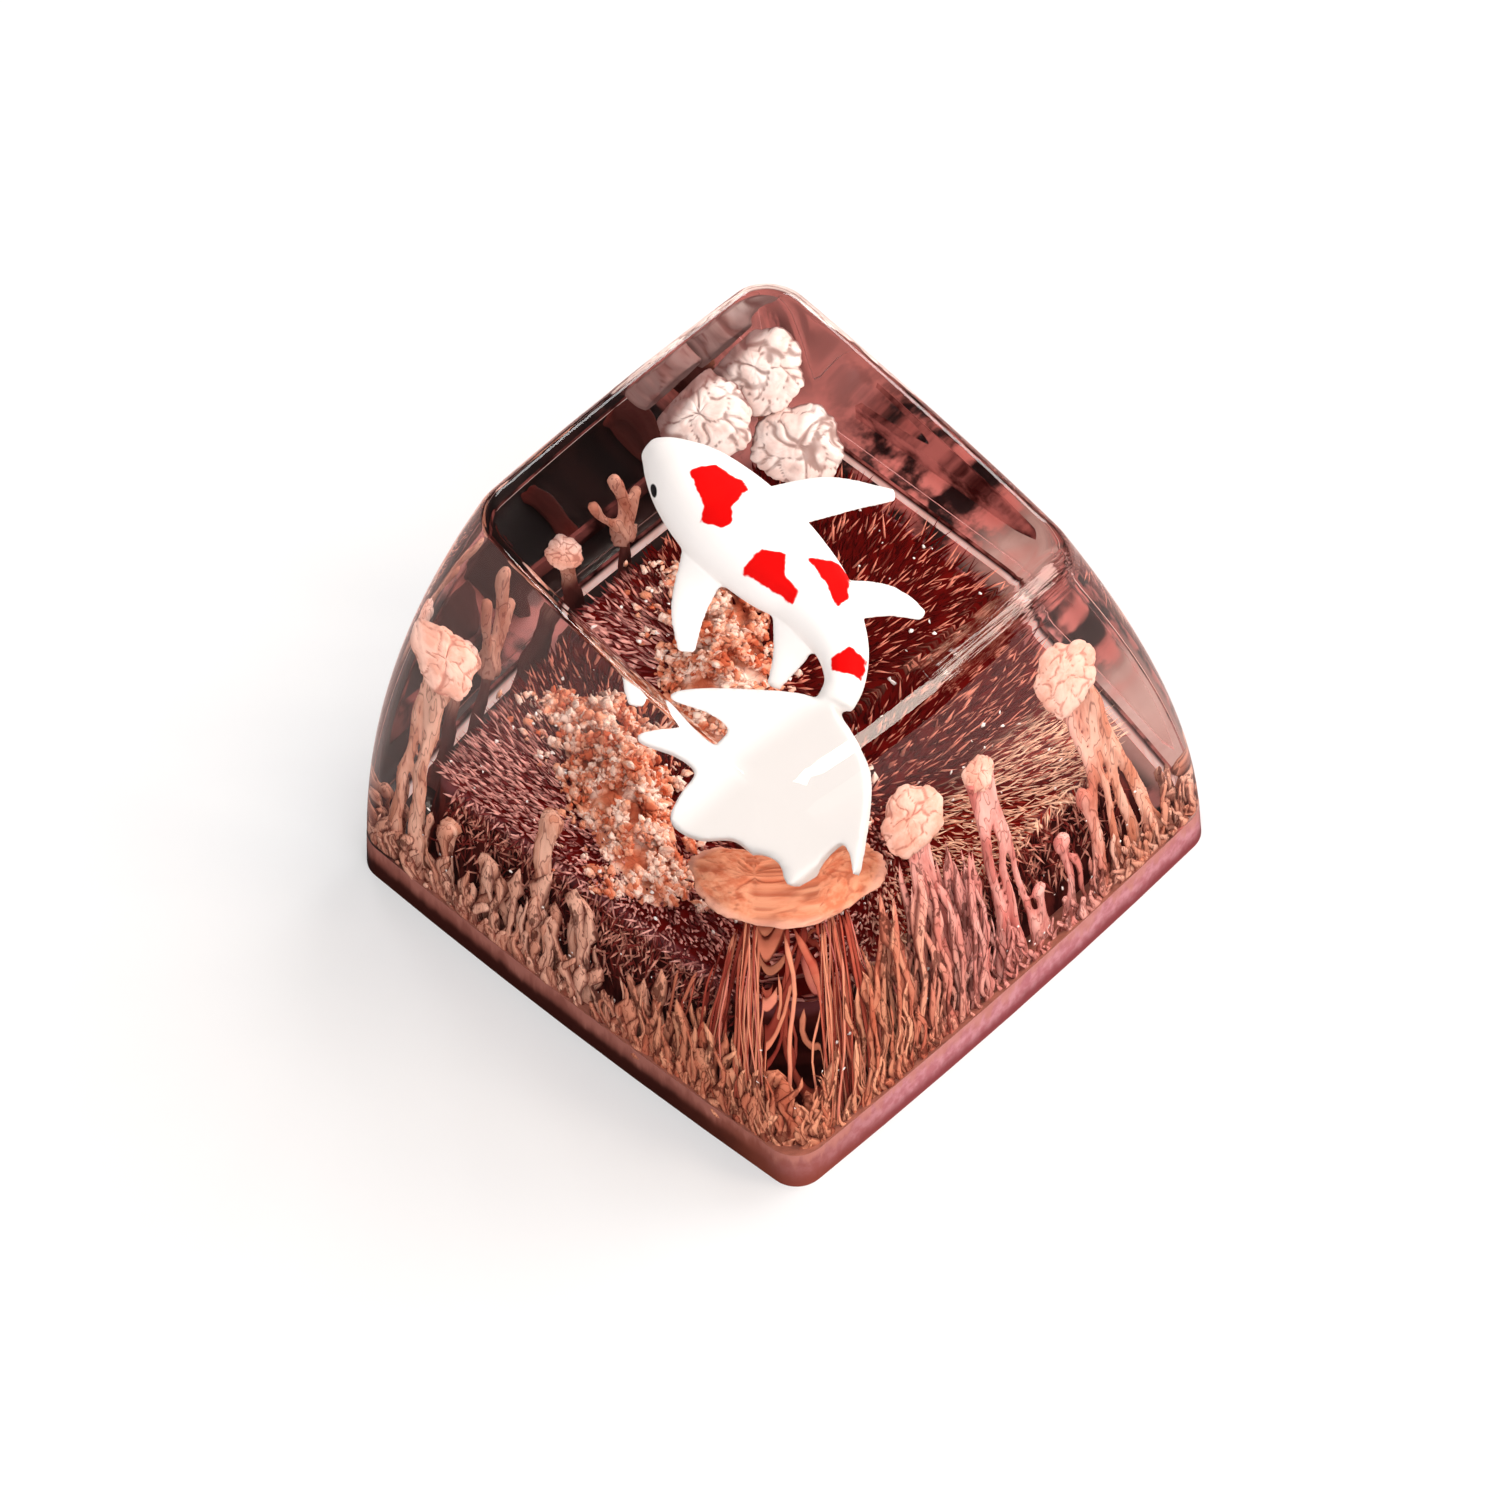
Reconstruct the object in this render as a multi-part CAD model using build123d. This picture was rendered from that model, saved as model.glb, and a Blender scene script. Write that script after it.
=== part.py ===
from build123d import *
import math
import os

# Artisan keycap in clear resin, millimetres. X is right, Y is away from the typist, Z is up.
# The origin is on the axis of the stem, in the plane of the bottom rim.

# Outer form: a tall top-row cap with bowed, tapering walls and a tilted dished top
CAP_HEIGHT = 14.75          # top plane above the rim, on the stem axis
TOP_TILT = 13.8             # degrees, the far side of the top is the high one
BASE_SIDE = 18.0
TOP_SIDE = 12.3
WALL_SAGITTA = 0.7          # outward curve of a wall between rim and top
SIDE_BOW = 0.2              # outward curve of a wall seen in plan
BASE_CORNER_RADIUS = 0.9
TOP_CORNER_RADIUS = 1.3
DISH_DEPTH = 0.6
TOP_EDGE_RADIUS = 0.7
WALL_BANDS = 6              # straight bands that the curve of a wall is built from

# Stem base: the dark opaque block that holds the cavity and the stem
RIM_WIDTH = 1.5             # pink layer between the cap's wall and the dark block, at the rim
PLATEAU_HEIGHT = 5.05
CORE_BASE_SIDE = BASE_SIDE - 2 * RIM_WIDTH
CORE_LEAN = 1.1             # inward lean of the block's sides from foot to plateau
CORE_CORNER_RADIUS = 1.9    # at its foot
SHOULDER_RADIUS = 0.45
SKIRT_WALL = 0.6            # dark wall round the mouth of the cavity
CEILING_THICKNESS = 0.8
CAVITY_MOUTH_SIDE = CORE_BASE_SIDE - 2 * SKIRT_WALL
CAVITY_LEAN = 0.65          # inward lean of the cavity's sides from mouth to ceiling
CAVITY_CORNER_RADIUS = 1.0  # at its mouth
STEM_DIAMETER = 5.5
STEM_RECESS = 0.1           # the stem's end stands this far inside the rim plane
SLOT_LENGTH = 4.1
SLOT_WIDTH = 1.3
SLOT_DEPTH = 3.8

# Pigment: the pink layer round the rim and the plumes that rise from it
RIM_HEIGHT = 1.4
PLUME_INSET = 1.05          # axis of a plume behind the outer wall
PLUME_SINK = 0.4            # length of a plume's root inside what it stands on
PLUME_SIDES = 6
ROOT_RADIUS = 0.42
STALK_RADIUS = 0.24
ROOT_SHARE = 0.35           # part of a stalk's length that its root flares over
CAP_FLATNESS = 0.75         # height of the upper or lower half of a cap over its radius
CAP_CROWN = ((1.0, 1.0), (0.8, 0.4), (0.35, 0.0))   # brim to top: share of radius, drop in half heights

# Fringe: a band of small tongues on the pink layer, behind each of the two near walls
FRINGE_INSET = 0.2          # its outer side behind the wall
FRINGE_THICKNESS = 0.35
FRINGE_REACH = 0.92         # its ends along a wall, from the middle
FRINGE_VALLEY = 0.5         # height between two tongues
FRINGE_TONGUES = {          # heights of the tongues over the pink layer, from the near corner
    "left": (1.6, 2.2, 1.2, 1.6, 2.4, 1.8, 2.8, 1.6, 2.0, 2.4),
    "front": (2.6, 3.2, 3.6, 4.2, 3.0, 1.2, 1.0, 1.6, 1.2, 1.6),
}

# Veil: a shallow umbrella of pigment under the tail, with the curtain round it
VEIL_RADIUS = 1.75
VEIL_DEPTH = 6.75           # its crown below the top plane, on the stem axis
VEIL_SHARE = 0.56           # its place on the way from the stem axis to the near corner
VEIL_SIDES = 10
VEIL_STEPS = ((0.3, 0.3), (1.0, 0.95), (1.0, 0.75), (0.7, 0.3), (0.3, 0.0))   # share of radius, drop

# Pigment mound: crumbs heaped on the plateau
MOUND_CENTRE = (-1.5, 0.8)
MOUND_RISE = 1.1
MOUND_REACH = (2.9, 2.3, 3.1, 2.4, 2.8, 2.2, 3.0, 2.5, 2.7)   # outline, all round from +X
MOUND_STEPS = ((1.0, 0.0), (0.82, 0.5), (0.4, 1.0))           # share of the outline, of the rise

# Koi: the white figure that swims under the top
KOI_LENGTH = 10.2           # snout to tail root, along Y
KOI_DEPTH = 2.95            # its spine below the top plane, on the stem axis
KOI_FALL = 0.06             # drop of the spine for each millimetre towards the tail
KOI_SIDES = 14
FIN_SIDES = 6
FIN_THICKNESS = 0.5
TAIL_THICKNESS = 0.5
TAIL_LENGTH = 4.6
TAIL_PITCH = 36.0           # degrees that the fan hangs down towards the near left corner
TAIL_HEADING = 205.0        # plan direction in which the fan hangs down, degrees

FLAT_ENOUGH = 1e-6          # cubic millimetres by which four corners may miss a common plane
TILT_PASSES = 4             # rounds that find the tilted section passing through a given height
SIDES = {"left": 180.0, "front": 270.0, "right": 0.0, "back": 90.0}   # outward direction, degrees

# Plumes that stand out, as side, place along it, height of the head and radius of the cap
PLUMES = {
    "tall_left": ("left", 0.9, 10.3, 0.75),
    "left_middle": ("left", 0.22, 7.6, 0.45),
    "left_low_far": ("left", 0.68, 4.6, 0.4),
    "left_low_middle": ("left", 0.48, 4.2, 0.4),
    "left_low_near": ("left", 0.03, 5.1, 0.45),
    "tall_right": ("front", 0.7, 9.5, 0.8),
    "tall_right_companion": ("front", 0.56, 5.6, 0.35),
    "broken_column": ("front", 0.1, 8.8, 0.55),
    "front_blossom": ("front", -0.3, 9.2, 0.75),
    "club": ("front", 0.39, 4.6, 0.4),
    "front_low": ("front", 0.25, 3.6, 0.35),
    "back_blossom": ("back", 0.5, 9.2, 0.9),
    "back_corner_blossom": ("back", 0.84, 9.4, 0.9),
    "back_tendril": ("back", 0.0, 8.8, 0.4),
    "back_tendril_low": ("back", -0.18, 7.2, 0.4),
}

# Curtain of drips round the near left corner: places along each wall, highest at the corner
CURTAIN = {"left": (-0.9, -0.74, -0.58), "front": (-0.76, -0.61, -0.46)}
CURTAIN_HEIGHT = 9.0
CURTAIN_FALL = 4.0          # drop of the heads per unit of distance along the wall
CURTAIN_CAP = 0.42

# Blossom that stands by itself on the plateau, near its far right corner
PLATEAU_BLOSSOM_PLACE = (5.2, 4.7)
PLATEAU_BLOSSOM_HEIGHT = 3.1
PLATEAU_BLOSSOM_CAP = 0.9

# Koi sections from snout to tail root, in shares of its length: place, half width, half height
KOI_SECTIONS = [
    ((0.056, 0.593), 0.030, 0.028),
    ((0.067, 0.500), 0.103, 0.088),
    ((0.051, 0.402), 0.139, 0.123),
    ((0.029, 0.235), 0.167, 0.147),
    ((0.020, 0.039), 0.157, 0.137),
    ((0.010, -0.108), 0.123, 0.113),
    ((-0.049, -0.270), 0.083, 0.083),
    ((-0.132, -0.368), 0.059, 0.054),
    ((-0.216, -0.407), 0.054, 0.039),
]

# Fins from root to tip, in shares of the koi's length: place, drop below the spine, half width
KOI_FINS = {
    "right_pectoral": [
        ((0.118, 0.216), 0.020, 0.074),
        ((0.304, 0.123), 0.025, 0.064),
        ((0.431, -0.005), 0.029, 0.027),
    ],
    "left_pectoral": [
        ((-0.078, 0.216), 0.029, 0.078),
        ((-0.255, 0.127), 0.059, 0.047),
        ((-0.333, 0.064), 0.088, 0.025),
    ],
    "right_pelvic": [
        ((0.049, -0.147), 0.020, 0.069),
        ((0.157, -0.240), 0.029, 0.049),
        ((0.196, -0.338), 0.034, 0.020),
    ],
    "left_pelvic": [
        ((-0.069, -0.127), 0.029, 0.074),
        ((-0.176, -0.176), 0.054, 0.044),
        ((-0.270, -0.211), 0.078, 0.020),
    ],
}

# Tail fan: lobes and the notches between them, as angle from its middle and share of its length
TAIL_LOBES = ((-70, 0.97), (-41, 1.03), (-1, 0.97), (23, 0.82))
TAIL_NOTCHES = ((-56, 0.72), (-21, 0.8), (11, 0.66))


def facet(points):
    """Flat face with straight edges."""
    return make_face(Polyline(points, close=True)).face()


def faceted(rings):
    """Solid with flat facets between rings of points, closed at both ends."""
    facets = [facet(rings[0]), facet(rings[-1])]
    for low, high in zip(rings, rings[1:]):
        for i in range(len(low)):
            a, b, c, d = low[i - 1], low[i], high[i], high[i - 1]
            if abs((b - a).cross(c - a).dot(d - a)) < FLAT_ENOUGH:
                facets.append(facet([a, b, c, d]))
            else:
                facets += [facet([a, b, c]), facet([a, c, d])]
    return Solid(Shell(facets))


def ring(plane, half_width, half_height, count):
    """Points of an oval in a plane, all round from the plane's X axis."""
    turn = 2 * math.pi / count
    flat = [Vector(half_width * math.cos(i * turn), half_height * math.sin(i * turn)) for i in range(count)]
    return [plane.from_local_coords(point) for point in flat]


def wall_half(level):
    """Half the width of the cap at a level from 0, the rim, to 1, the top."""
    straight = BASE_SIDE + (TOP_SIDE - BASE_SIDE) * level
    return straight / 2 + WALL_SAGITTA * 4 * level * (1 - level)


def cap_section(level):
    """Section of the cap, tilted in step with its level."""
    half = wall_half(level)
    crown = half + SIDE_BOW
    corners = [(-half, -half), (half, -half), (half, half), (-half, half)]
    crowns = [(0, -crown), (crown, 0), (0, crown), (-crown, 0)]
    arcs = [ThreePointArc(corners[i], crowns[i], corners[(i + 1) % 4]) for i in range(4)]
    radius = BASE_CORNER_RADIUS + (TOP_CORNER_RADIUS - BASE_CORNER_RADIUS) * level
    face = make_face(arcs)
    face = fillet(face.vertices(), radius)
    return Plane.XY.offset(CAP_HEIGHT * level) * Rot(X=TOP_TILT * level) * face


def outer_form():
    """The whole cap as one solid, with its dish and its rounded top edge."""
    walls = loft([cap_section(i / WALL_BANDS) for i in range(WALL_BANDS + 1)], ruled=True)
    reach = TOP_SIDE / math.sqrt(2)
    dish_radius = (reach**2 + DISH_DEPTH**2) / (2 * DISH_DEPTH)
    top = Plane.XY.offset(CAP_HEIGHT) * Rot(X=TOP_TILT)
    form = walls - top * Pos(0, 0, dish_radius - DISH_DEPTH) * Rot(Y=90) * Sphere(dish_radius)
    dish = form.faces().filter_by(GeomType.SPHERE)[0]
    return fillet(dish.outer_wire().edges(), TOP_EDGE_RADIUS)


def tapered_block(base_side, lean, radius, height):
    """Block with round corners whose four sides lean in evenly."""
    angle = math.degrees(math.atan(lean / height))
    return extrude(RectangleRounded(base_side, base_side, radius), height, taper=angle)


def core_block():
    """Outside of the stem base, without its cavity."""
    block = tapered_block(CORE_BASE_SIDE, CORE_LEAN, CORE_CORNER_RADIUS, PLATEAU_HEIGHT)
    return fillet(block.faces().sort_by(Axis.Z)[-1].edges(), SHOULDER_RADIUS)


def stem_base():
    """Dark block with the cavity for the switch and the slotted stem."""
    ceiling = PLATEAU_HEIGHT - CEILING_THICKNESS
    cavity = tapered_block(CAVITY_MOUTH_SIDE, CAVITY_LEAN, CAVITY_CORNER_RADIUS, ceiling)
    lift = (Align.CENTER, Align.CENTER, Align.MIN)
    stem = Pos(0, 0, STEM_RECESS) * Cylinder(STEM_DIAMETER / 2, ceiling - STEM_RECESS, align=lift)
    slot = Box(SLOT_LENGTH, SLOT_WIDTH, SLOT_DEPTH, align=lift)
    slot += Box(SLOT_WIDTH, SLOT_LENGTH, SLOT_DEPTH, align=lift)
    return core_block() - cavity + (stem - Pos(0, 0, STEM_RECESS) * slot)


def rim_layer():
    """Slab as high as the pink layer and wider than the cap."""
    reach = 2 * BASE_SIDE
    return Box(reach, reach, RIM_HEIGHT, align=(Align.CENTER, Align.CENTER, Align.MIN))


def wall_point(side, along, height, inset):
    """Point at a height, an inset behind one wall, along it from -1 to 1 (left or front end first)."""
    out = math.radians(SIDES[side])
    normal = Vector(math.cos(out), math.sin(out))
    run = Vector(abs(normal.Y), abs(normal.X))
    level = height / CAP_HEIGHT
    for _ in range(TILT_PASSES):
        half = wall_half(level) - inset
        flat = normal * half + run * (along * half)
        level = (height - flat.Y * math.sin(math.radians(TOP_TILT * level))) / CAP_HEIGHT
    return Vector(flat.X, flat.Y, height)


def plume(foot, head, cap_radius):
    """Plume of pigment with flat sides: a flared root, a thin stalk and a rounded cap."""
    length = (head - foot).length
    cap_height = cap_radius * CAP_FLATNESS
    neck = length - 2 * cap_height
    waist = PLUME_SINK + (neck - PLUME_SINK) * ROOT_SHARE
    stations = [(ROOT_RADIUS, 0.0), (ROOT_RADIUS, PLUME_SINK), (STALK_RADIUS, waist), (STALK_RADIUS, neck)]
    for share, drop in CAP_CROWN:
        stations.append((cap_radius * share, length - cap_height * drop))
    upright = Plane(origin=foot, z_dir=head - foot)
    return faceted([ring(upright.offset(rise), r, r, PLUME_SIDES) for r, rise in stations])


def wall_plume(side, along, height, cap_radius):
    """Plume that rises from the rim layer close behind one wall and leans with it."""
    foot = wall_point(side, along, RIM_HEIGHT - PLUME_SINK, PLUME_INSET)
    head = wall_point(side, along, height, PLUME_INSET)
    return plume(foot, head, cap_radius) - rim_layer()


def plateau_blossom():
    """Plume that stands upright on the dark base."""
    foot = Vector(*PLATEAU_BLOSSOM_PLACE, PLATEAU_HEIGHT - PLUME_SINK)
    head = foot + Vector(0, 0, PLUME_SINK + PLATEAU_BLOSSOM_HEIGHT)
    return plume(foot, head, PLATEAU_BLOSSOM_CAP) - core_block()


def pigment_plumes():
    """All plumes as separate solids, on the pink layer or on the plateau."""
    plumes = [wall_plume(*place) for place in PLUMES.values()]
    for side, places in CURTAIN.items():
        for along in places:
            height = CURTAIN_HEIGHT - CURTAIN_FALL * (along + 1)
            plumes.append(wall_plume(side, along, height, CURTAIN_CAP))
    plumes.append(plateau_blossom())
    return Compound([solid for one in plumes for solid in one.solids()])


def fringe(side):
    """Band of tongues that stands on the pink layer behind one wall."""
    heights = FRINGE_TONGUES[side]
    steps = 2 * len(heights)
    inner = FRINGE_INSET + FRINGE_THICKNESS
    rings = []
    for i in range(steps + 1):
        along = FRINGE_REACH * (2 * i / steps - 1)
        top = RIM_HEIGHT + (heights[i // 2] if i % 2 else FRINGE_VALLEY)
        corners = [(RIM_HEIGHT, FRINGE_INSET), (RIM_HEIGHT, inner), (top, inner), (top, FRINGE_INSET)]
        rings.append([wall_point(side, along, height, inset) for height, inset in corners])
    return faceted(rings)


def curtain_veil():
    """Shallow umbrella with a hollow underside."""
    height = CAP_HEIGHT - VEIL_DEPTH
    place = -VEIL_SHARE * wall_half(height / CAP_HEIGHT)
    crown = Plane(origin=(place, place, height))
    rings = []
    for share, drop in VEIL_STEPS:
        rings.append(ring(crown.offset(-drop), VEIL_RADIUS * share, VEIL_RADIUS * share, VEIL_SIDES))
    return faceted(rings)


def pigment_mound():
    """Low crumbly heap on the plateau, flat underneath."""
    turn = 2 * math.pi / len(MOUND_REACH)
    centre = Vector(*MOUND_CENTRE, PLATEAU_HEIGHT)
    layers = []
    for share, rise in MOUND_STEPS:
        spokes = [Vector(reach * math.cos(i * turn), reach * math.sin(i * turn)) * share
                  for i, reach in enumerate(MOUND_REACH)]
        layers.append([centre + spoke + Vector(0, 0, rise * MOUND_RISE) for spoke in spokes])
    return faceted(layers)


def koi_spine(place):
    """Point on the level of the spine, from a place in shares of the koi's length."""
    y = place[1] * KOI_LENGTH
    return Vector(place[0] * KOI_LENGTH, y, CAP_HEIGHT - KOI_DEPTH + KOI_FALL * y)


def koi_headings(points):
    """Direction of the line through the points, at each of them."""
    last = len(points) - 1
    return [points[min(i + 1, last)] - points[max(i - 1, 0)] for i in range(len(points))]


def cross_plane(centre, heading):
    """Plane across a heading, its X axis level."""
    return Plane(origin=centre, x_dir=heading.cross(Vector(0, 0, 1)), z_dir=heading)


def koi_body():
    """Body of the fish, from snout to tail root."""
    points = [koi_spine(place) for place, _, _ in KOI_SECTIONS]
    rings = []
    for (_, wide, high), point, heading in zip(KOI_SECTIONS, points, koi_headings(points)):
        plane = cross_plane(point, heading)
        rings.append(ring(plane, wide * KOI_LENGTH, high * KOI_LENGTH, KOI_SIDES))
    return faceted(rings)


def koi_fin(stations):
    """Flat fin from its root inside the body to its tip."""
    points = [koi_spine(place) - Vector(0, 0, drop * KOI_LENGTH) for place, drop, _ in stations]
    rings = []
    for (_, _, wide), point, heading in zip(stations, points, koi_headings(points)):
        rings.append(ring(cross_plane(point, heading), wide * KOI_LENGTH, FIN_THICKNESS / 2, FIN_SIDES))
    return faceted(rings)


def koi_tail():
    """Fan of the tail: a sheet with pointed lobes that hangs from the tail root."""
    root = koi_spine(KOI_SECTIONS[-1][0])
    turn = math.radians(TAIL_HEADING)
    pitch = math.radians(TAIL_PITCH)
    along = Vector(math.cos(turn) * math.cos(pitch), math.sin(turn) * math.cos(pitch), -math.sin(pitch))
    across = Vector(-math.sin(turn), math.cos(turn), 0)
    plane = Plane(origin=root, x_dir=along, z_dir=along.cross(across))

    def polar(angle, share):
        reach = TAIL_LENGTH * share
        return (reach * math.cos(math.radians(angle)), reach * math.sin(math.radians(angle)))

    half_root = KOI_SECTIONS[-1][1] * KOI_LENGTH
    outline = [(0.0, half_root), (-half_root, 0.0), (0.0, -half_root)]
    for lobe, notch in zip(TAIL_LOBES, TAIL_NOTCHES + (None,)):
        outline.append(polar(*lobe))
        if notch:
            outline.append(polar(*notch))
    sheet = plane * make_face(Polyline(outline, close=True))
    return extrude(sheet, TAIL_THICKNESS / 2, both=True)


def koi():
    """The whole fish as one figure."""
    fish = koi_body() + koi_tail()
    for stations in KOI_FINS.values():
        fish += koi_fin(stations)
    return fish


def main():
    os.makedirs("parts", exist_ok=True)
    form = outer_form()
    core = core_block()
    plumes = pigment_plumes()
    tongues = Compound([fringe(side) for side in FRINGE_TONGUES])
    veil = curtain_veil()
    mound = pigment_mound()
    fish = koi()
    cast_in = [rim_layer(), core, *plumes.solids(), *tongues.solids(), veil, mound, fish]
    nodes = {
        "stem_base": stem_base(),
        "pigment_rim": (form & rim_layer()) - core,
        "pigment_plumes": plumes,
        "pigment_fringe": tongues,
        "curtain_veil": veil,
        "pigment_mound": mound,
        "koi_figure": fish,
        "clear_resin_body": form - cast_in,
    }
    for name, solid in nodes.items():
        export_step(solid, f"parts/{name}.step")
        print(name, "volume", round(solid.volume, 2), "solids", len(solid.solids()))


main()
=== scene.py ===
# %% [markdown]
# # A koi keycap in clear resin
# The cap is a block of polished resin with everything of interest inside it: a painted koi, plumes of
# pigment, a heap of crumbs and a dark base. The CAD model gives the size and place of each of these. Here
# each one gets its real surface. First the CAD model is loaded.

# %% Load the CAD model
import math

import bpy
import numpy as np
from mathutils import Matrix, Vector, noise


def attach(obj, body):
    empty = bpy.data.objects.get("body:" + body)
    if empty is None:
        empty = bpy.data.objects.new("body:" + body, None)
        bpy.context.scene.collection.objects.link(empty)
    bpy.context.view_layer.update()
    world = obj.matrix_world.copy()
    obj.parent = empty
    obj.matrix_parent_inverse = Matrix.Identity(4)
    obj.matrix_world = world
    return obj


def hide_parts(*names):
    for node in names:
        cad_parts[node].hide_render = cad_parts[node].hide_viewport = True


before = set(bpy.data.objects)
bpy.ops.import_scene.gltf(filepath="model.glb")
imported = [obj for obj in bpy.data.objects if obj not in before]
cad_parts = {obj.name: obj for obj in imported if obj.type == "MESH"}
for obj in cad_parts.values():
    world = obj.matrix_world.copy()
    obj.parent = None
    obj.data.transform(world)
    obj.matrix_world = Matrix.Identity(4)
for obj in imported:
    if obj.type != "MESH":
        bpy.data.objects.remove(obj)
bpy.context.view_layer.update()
MM = 0.001

# %% [markdown]
# ## Shapes wrapped from a grid
# The walls, the fish and its fins are smooth skins that run along a line. They could be pulled out of a
# cube ring by ring. It is quicker to wrap a flat grid: one direction of it goes round the skin and the other
# goes along it. A function says where each grid point goes, the seam is merged, and the faces are turned
# outwards.

# %% Wrap a grid
MERGE_DISTANCE = 0.001 * MM


def points_of(piece):
    """Places of a piece's points, in metres."""
    flat = np.empty(len(piece.data.vertices) * 3)
    piece.data.vertices.foreach_get("co", flat)
    return flat.reshape(-1, 3)


def moved_grid(name, across, along, place):
    """Grid primitive whose points are moved to place(u, v), in millimetres, with doubled points merged."""
    bpy.ops.object.select_all(action="DESELECT")
    bpy.ops.mesh.primitive_grid_add(x_subdivisions=across, y_subdivisions=along, size=2)
    sheet = bpy.context.object
    sheet.name = sheet.data.name = name
    u, v = (points_of(sheet)[:, :2].T + 1) / 2
    sheet.data.vertices.foreach_set("co", (place(u, v) * MM).ravel())
    bpy.ops.object.mode_set(mode="EDIT")
    bpy.ops.mesh.select_all(action="SELECT")
    bpy.ops.mesh.remove_doubles(threshold=MERGE_DISTANCE)
    bpy.ops.object.mode_set(mode="OBJECT")
    return sheet


def wrapped_grid(name, around, along, place, smooth_angle=180.0):
    """Moved grid with its open ends filled and all faces turned outwards."""
    piece = moved_grid(name, around, along, place)
    bpy.ops.object.mode_set(mode="EDIT")
    bpy.ops.mesh.select_non_manifold(extend=False)
    bpy.ops.mesh.fill_holes(sides=0)
    bpy.ops.mesh.select_all(action="SELECT")
    bpy.ops.mesh.normals_make_consistent(inside=False)
    bpy.ops.object.mode_set(mode="OBJECT")
    bpy.ops.object.shade_smooth_by_angle(angle=math.radians(smooth_angle))
    return piece


def through(rows, count):
    """Rows of numbers made finer: a smooth curve through them, with count points."""
    rows = np.asarray(rows, float)
    spots = np.linspace(0, len(rows) - 1, count)
    i = np.minimum(spots.astype(int), len(rows) - 2)
    t = (spots - i)[:, None]
    padded = np.vstack([2 * rows[0] - rows[1], rows, 2 * rows[-1] - rows[-2]])
    a, b, c, d = padded[i], padded[i + 1], padded[i + 2], padded[i + 3]
    curve = 2 * b + (c - a) * t + (2 * a - 5 * b + 4 * c - d) * t**2 + (3 * b - a - 3 * c + d) * t**3
    return curve / 2


# %% [markdown]
# ## The form of the cap
# The walls lean in and bow out, and the top is tilted and dished. A level says how far up the cap a section
# lies, from 0 at the foot to 1 at the top, and sections tilt more as they rise. These are the sizes of the
# CAD model, in millimetres, so the skin made here fits the CAD solids around it.

# %% Sizes of the cap
CAP_HEIGHT = 14.75          # plane of the top, on the axis
TOP_TILT = math.radians(13.8)
BASE_SIDE = 18.0
TOP_SIDE = 12.3
WALL_SAGITTA = 0.7          # bow of a wall from foot to top
SIDE_BOW = 0.2              # bow of each side of a section
BASE_CORNER = 0.9
TOP_CORNER = 1.3
DISH_DEPTH = 0.6
RIM_HEIGHT = 1.4
PLATEAU_HEIGHT = 5.05       # flat top of the dark base
CORE_HALF = 7.5             # half the side of the dark base at its foot
CORE_LEAN = 1.1
DISH_REACH = TOP_SIDE / math.sqrt(2)
DISH_RADIUS = (DISH_REACH**2 + DISH_DEPTH**2) / (2 * DISH_DEPTH)
print("radius of the dish in mm:", round(DISH_RADIUS, 1))

# %% [markdown]
# A section is a square with round corners and slightly bowed sides. Tilted sections could be bridged by
# hand, but functions that give any point of a wall also serve later, when the pigment has to stand behind
# that wall.

# %% Sections of the cap
SIDE_SHARE = 0.6            # share of the points round a section that lie on its sides
PASSES = 5                  # rounds that settle a level on the tilted sections


def rounded_square(u, half, radius):
    """Points round a square with round corners, from the near side's left end."""
    side = np.floor(u * 4)
    f = u * 4 - side
    turn = np.clip((f - SIDE_SHARE) / (1 - SIDE_SHARE), 0, 1) * math.pi / 2
    run = np.clip(f / SIDE_SHARE, 0, 1) * 2 - 1
    x = run * (half - radius) + radius * np.sin(turn)
    y = -(half - radius) - radius * np.cos(turn)
    spin = side * math.pi / 2
    return x * np.cos(spin) - y * np.sin(spin), x * np.sin(spin) + y * np.cos(spin)


def wall_half(level):
    """Half the width of the cap at a level."""
    return (BASE_SIDE + (TOP_SIDE - BASE_SIDE) * level) / 2 + WALL_SAGITTA * 4 * level * (1 - level)


def section(u, level):
    """Points round the cap at a level, in the plane of that level."""
    half = wall_half(level)
    x, y = rounded_square(u, half, BASE_CORNER + (TOP_CORNER - BASE_CORNER) * level)
    bow = SIDE_BOW / half
    return x * (1 + bow * (1 - (y / half)**2)), y * (1 + bow * (1 - (x / half)**2))


def stand(x, y, lift, level):
    """Points of a level's plane in the frame of the cap, lifted off that plane."""
    tilt = TOP_TILT * level
    return np.stack([x, y * np.cos(tilt) - lift * np.sin(tilt),
                     CAP_HEIGHT * level + y * np.sin(tilt) + lift * np.cos(tilt)], -1)


def wall_spot(u, level):
    """Points on the outer wall."""
    x, y = section(u, level)
    return stand(x, y, 0 * x, level)


def level_at(u, height):
    """Level of the tilted section that meets the wall at a height."""
    level = 0 * u + height / CAP_HEIGHT
    for _ in range(PASSES):
        level = (height - section(u, level)[1] * np.sin(TOP_TILT * level)) / CAP_HEIGHT
    return level


def dish(x, y):
    """Height of the dish over the plane of the top."""
    return DISH_RADIUS - DISH_DEPTH - np.sqrt(DISH_RADIUS**2 - x**2 - y**2)


print("half the width in mm at foot, middle and top:", [round(wall_half(i / 2), 2) for i in range(3)])

# %% [markdown]
# ## The clear resin
# Light bends when it enters the resin, and that makes the whole look: the inside seems lifted, walls act
# as mirrors, and the fish shows twice. A bevelled block would bend it in flat steps, so the skin is one
# closed shell with an even mesh. Its inner side is hidden inside the dark base and the pink rim, because
# there the real resin touches them with no air between. The edge of the top is a round blend from the wall
# into the dish.

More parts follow.
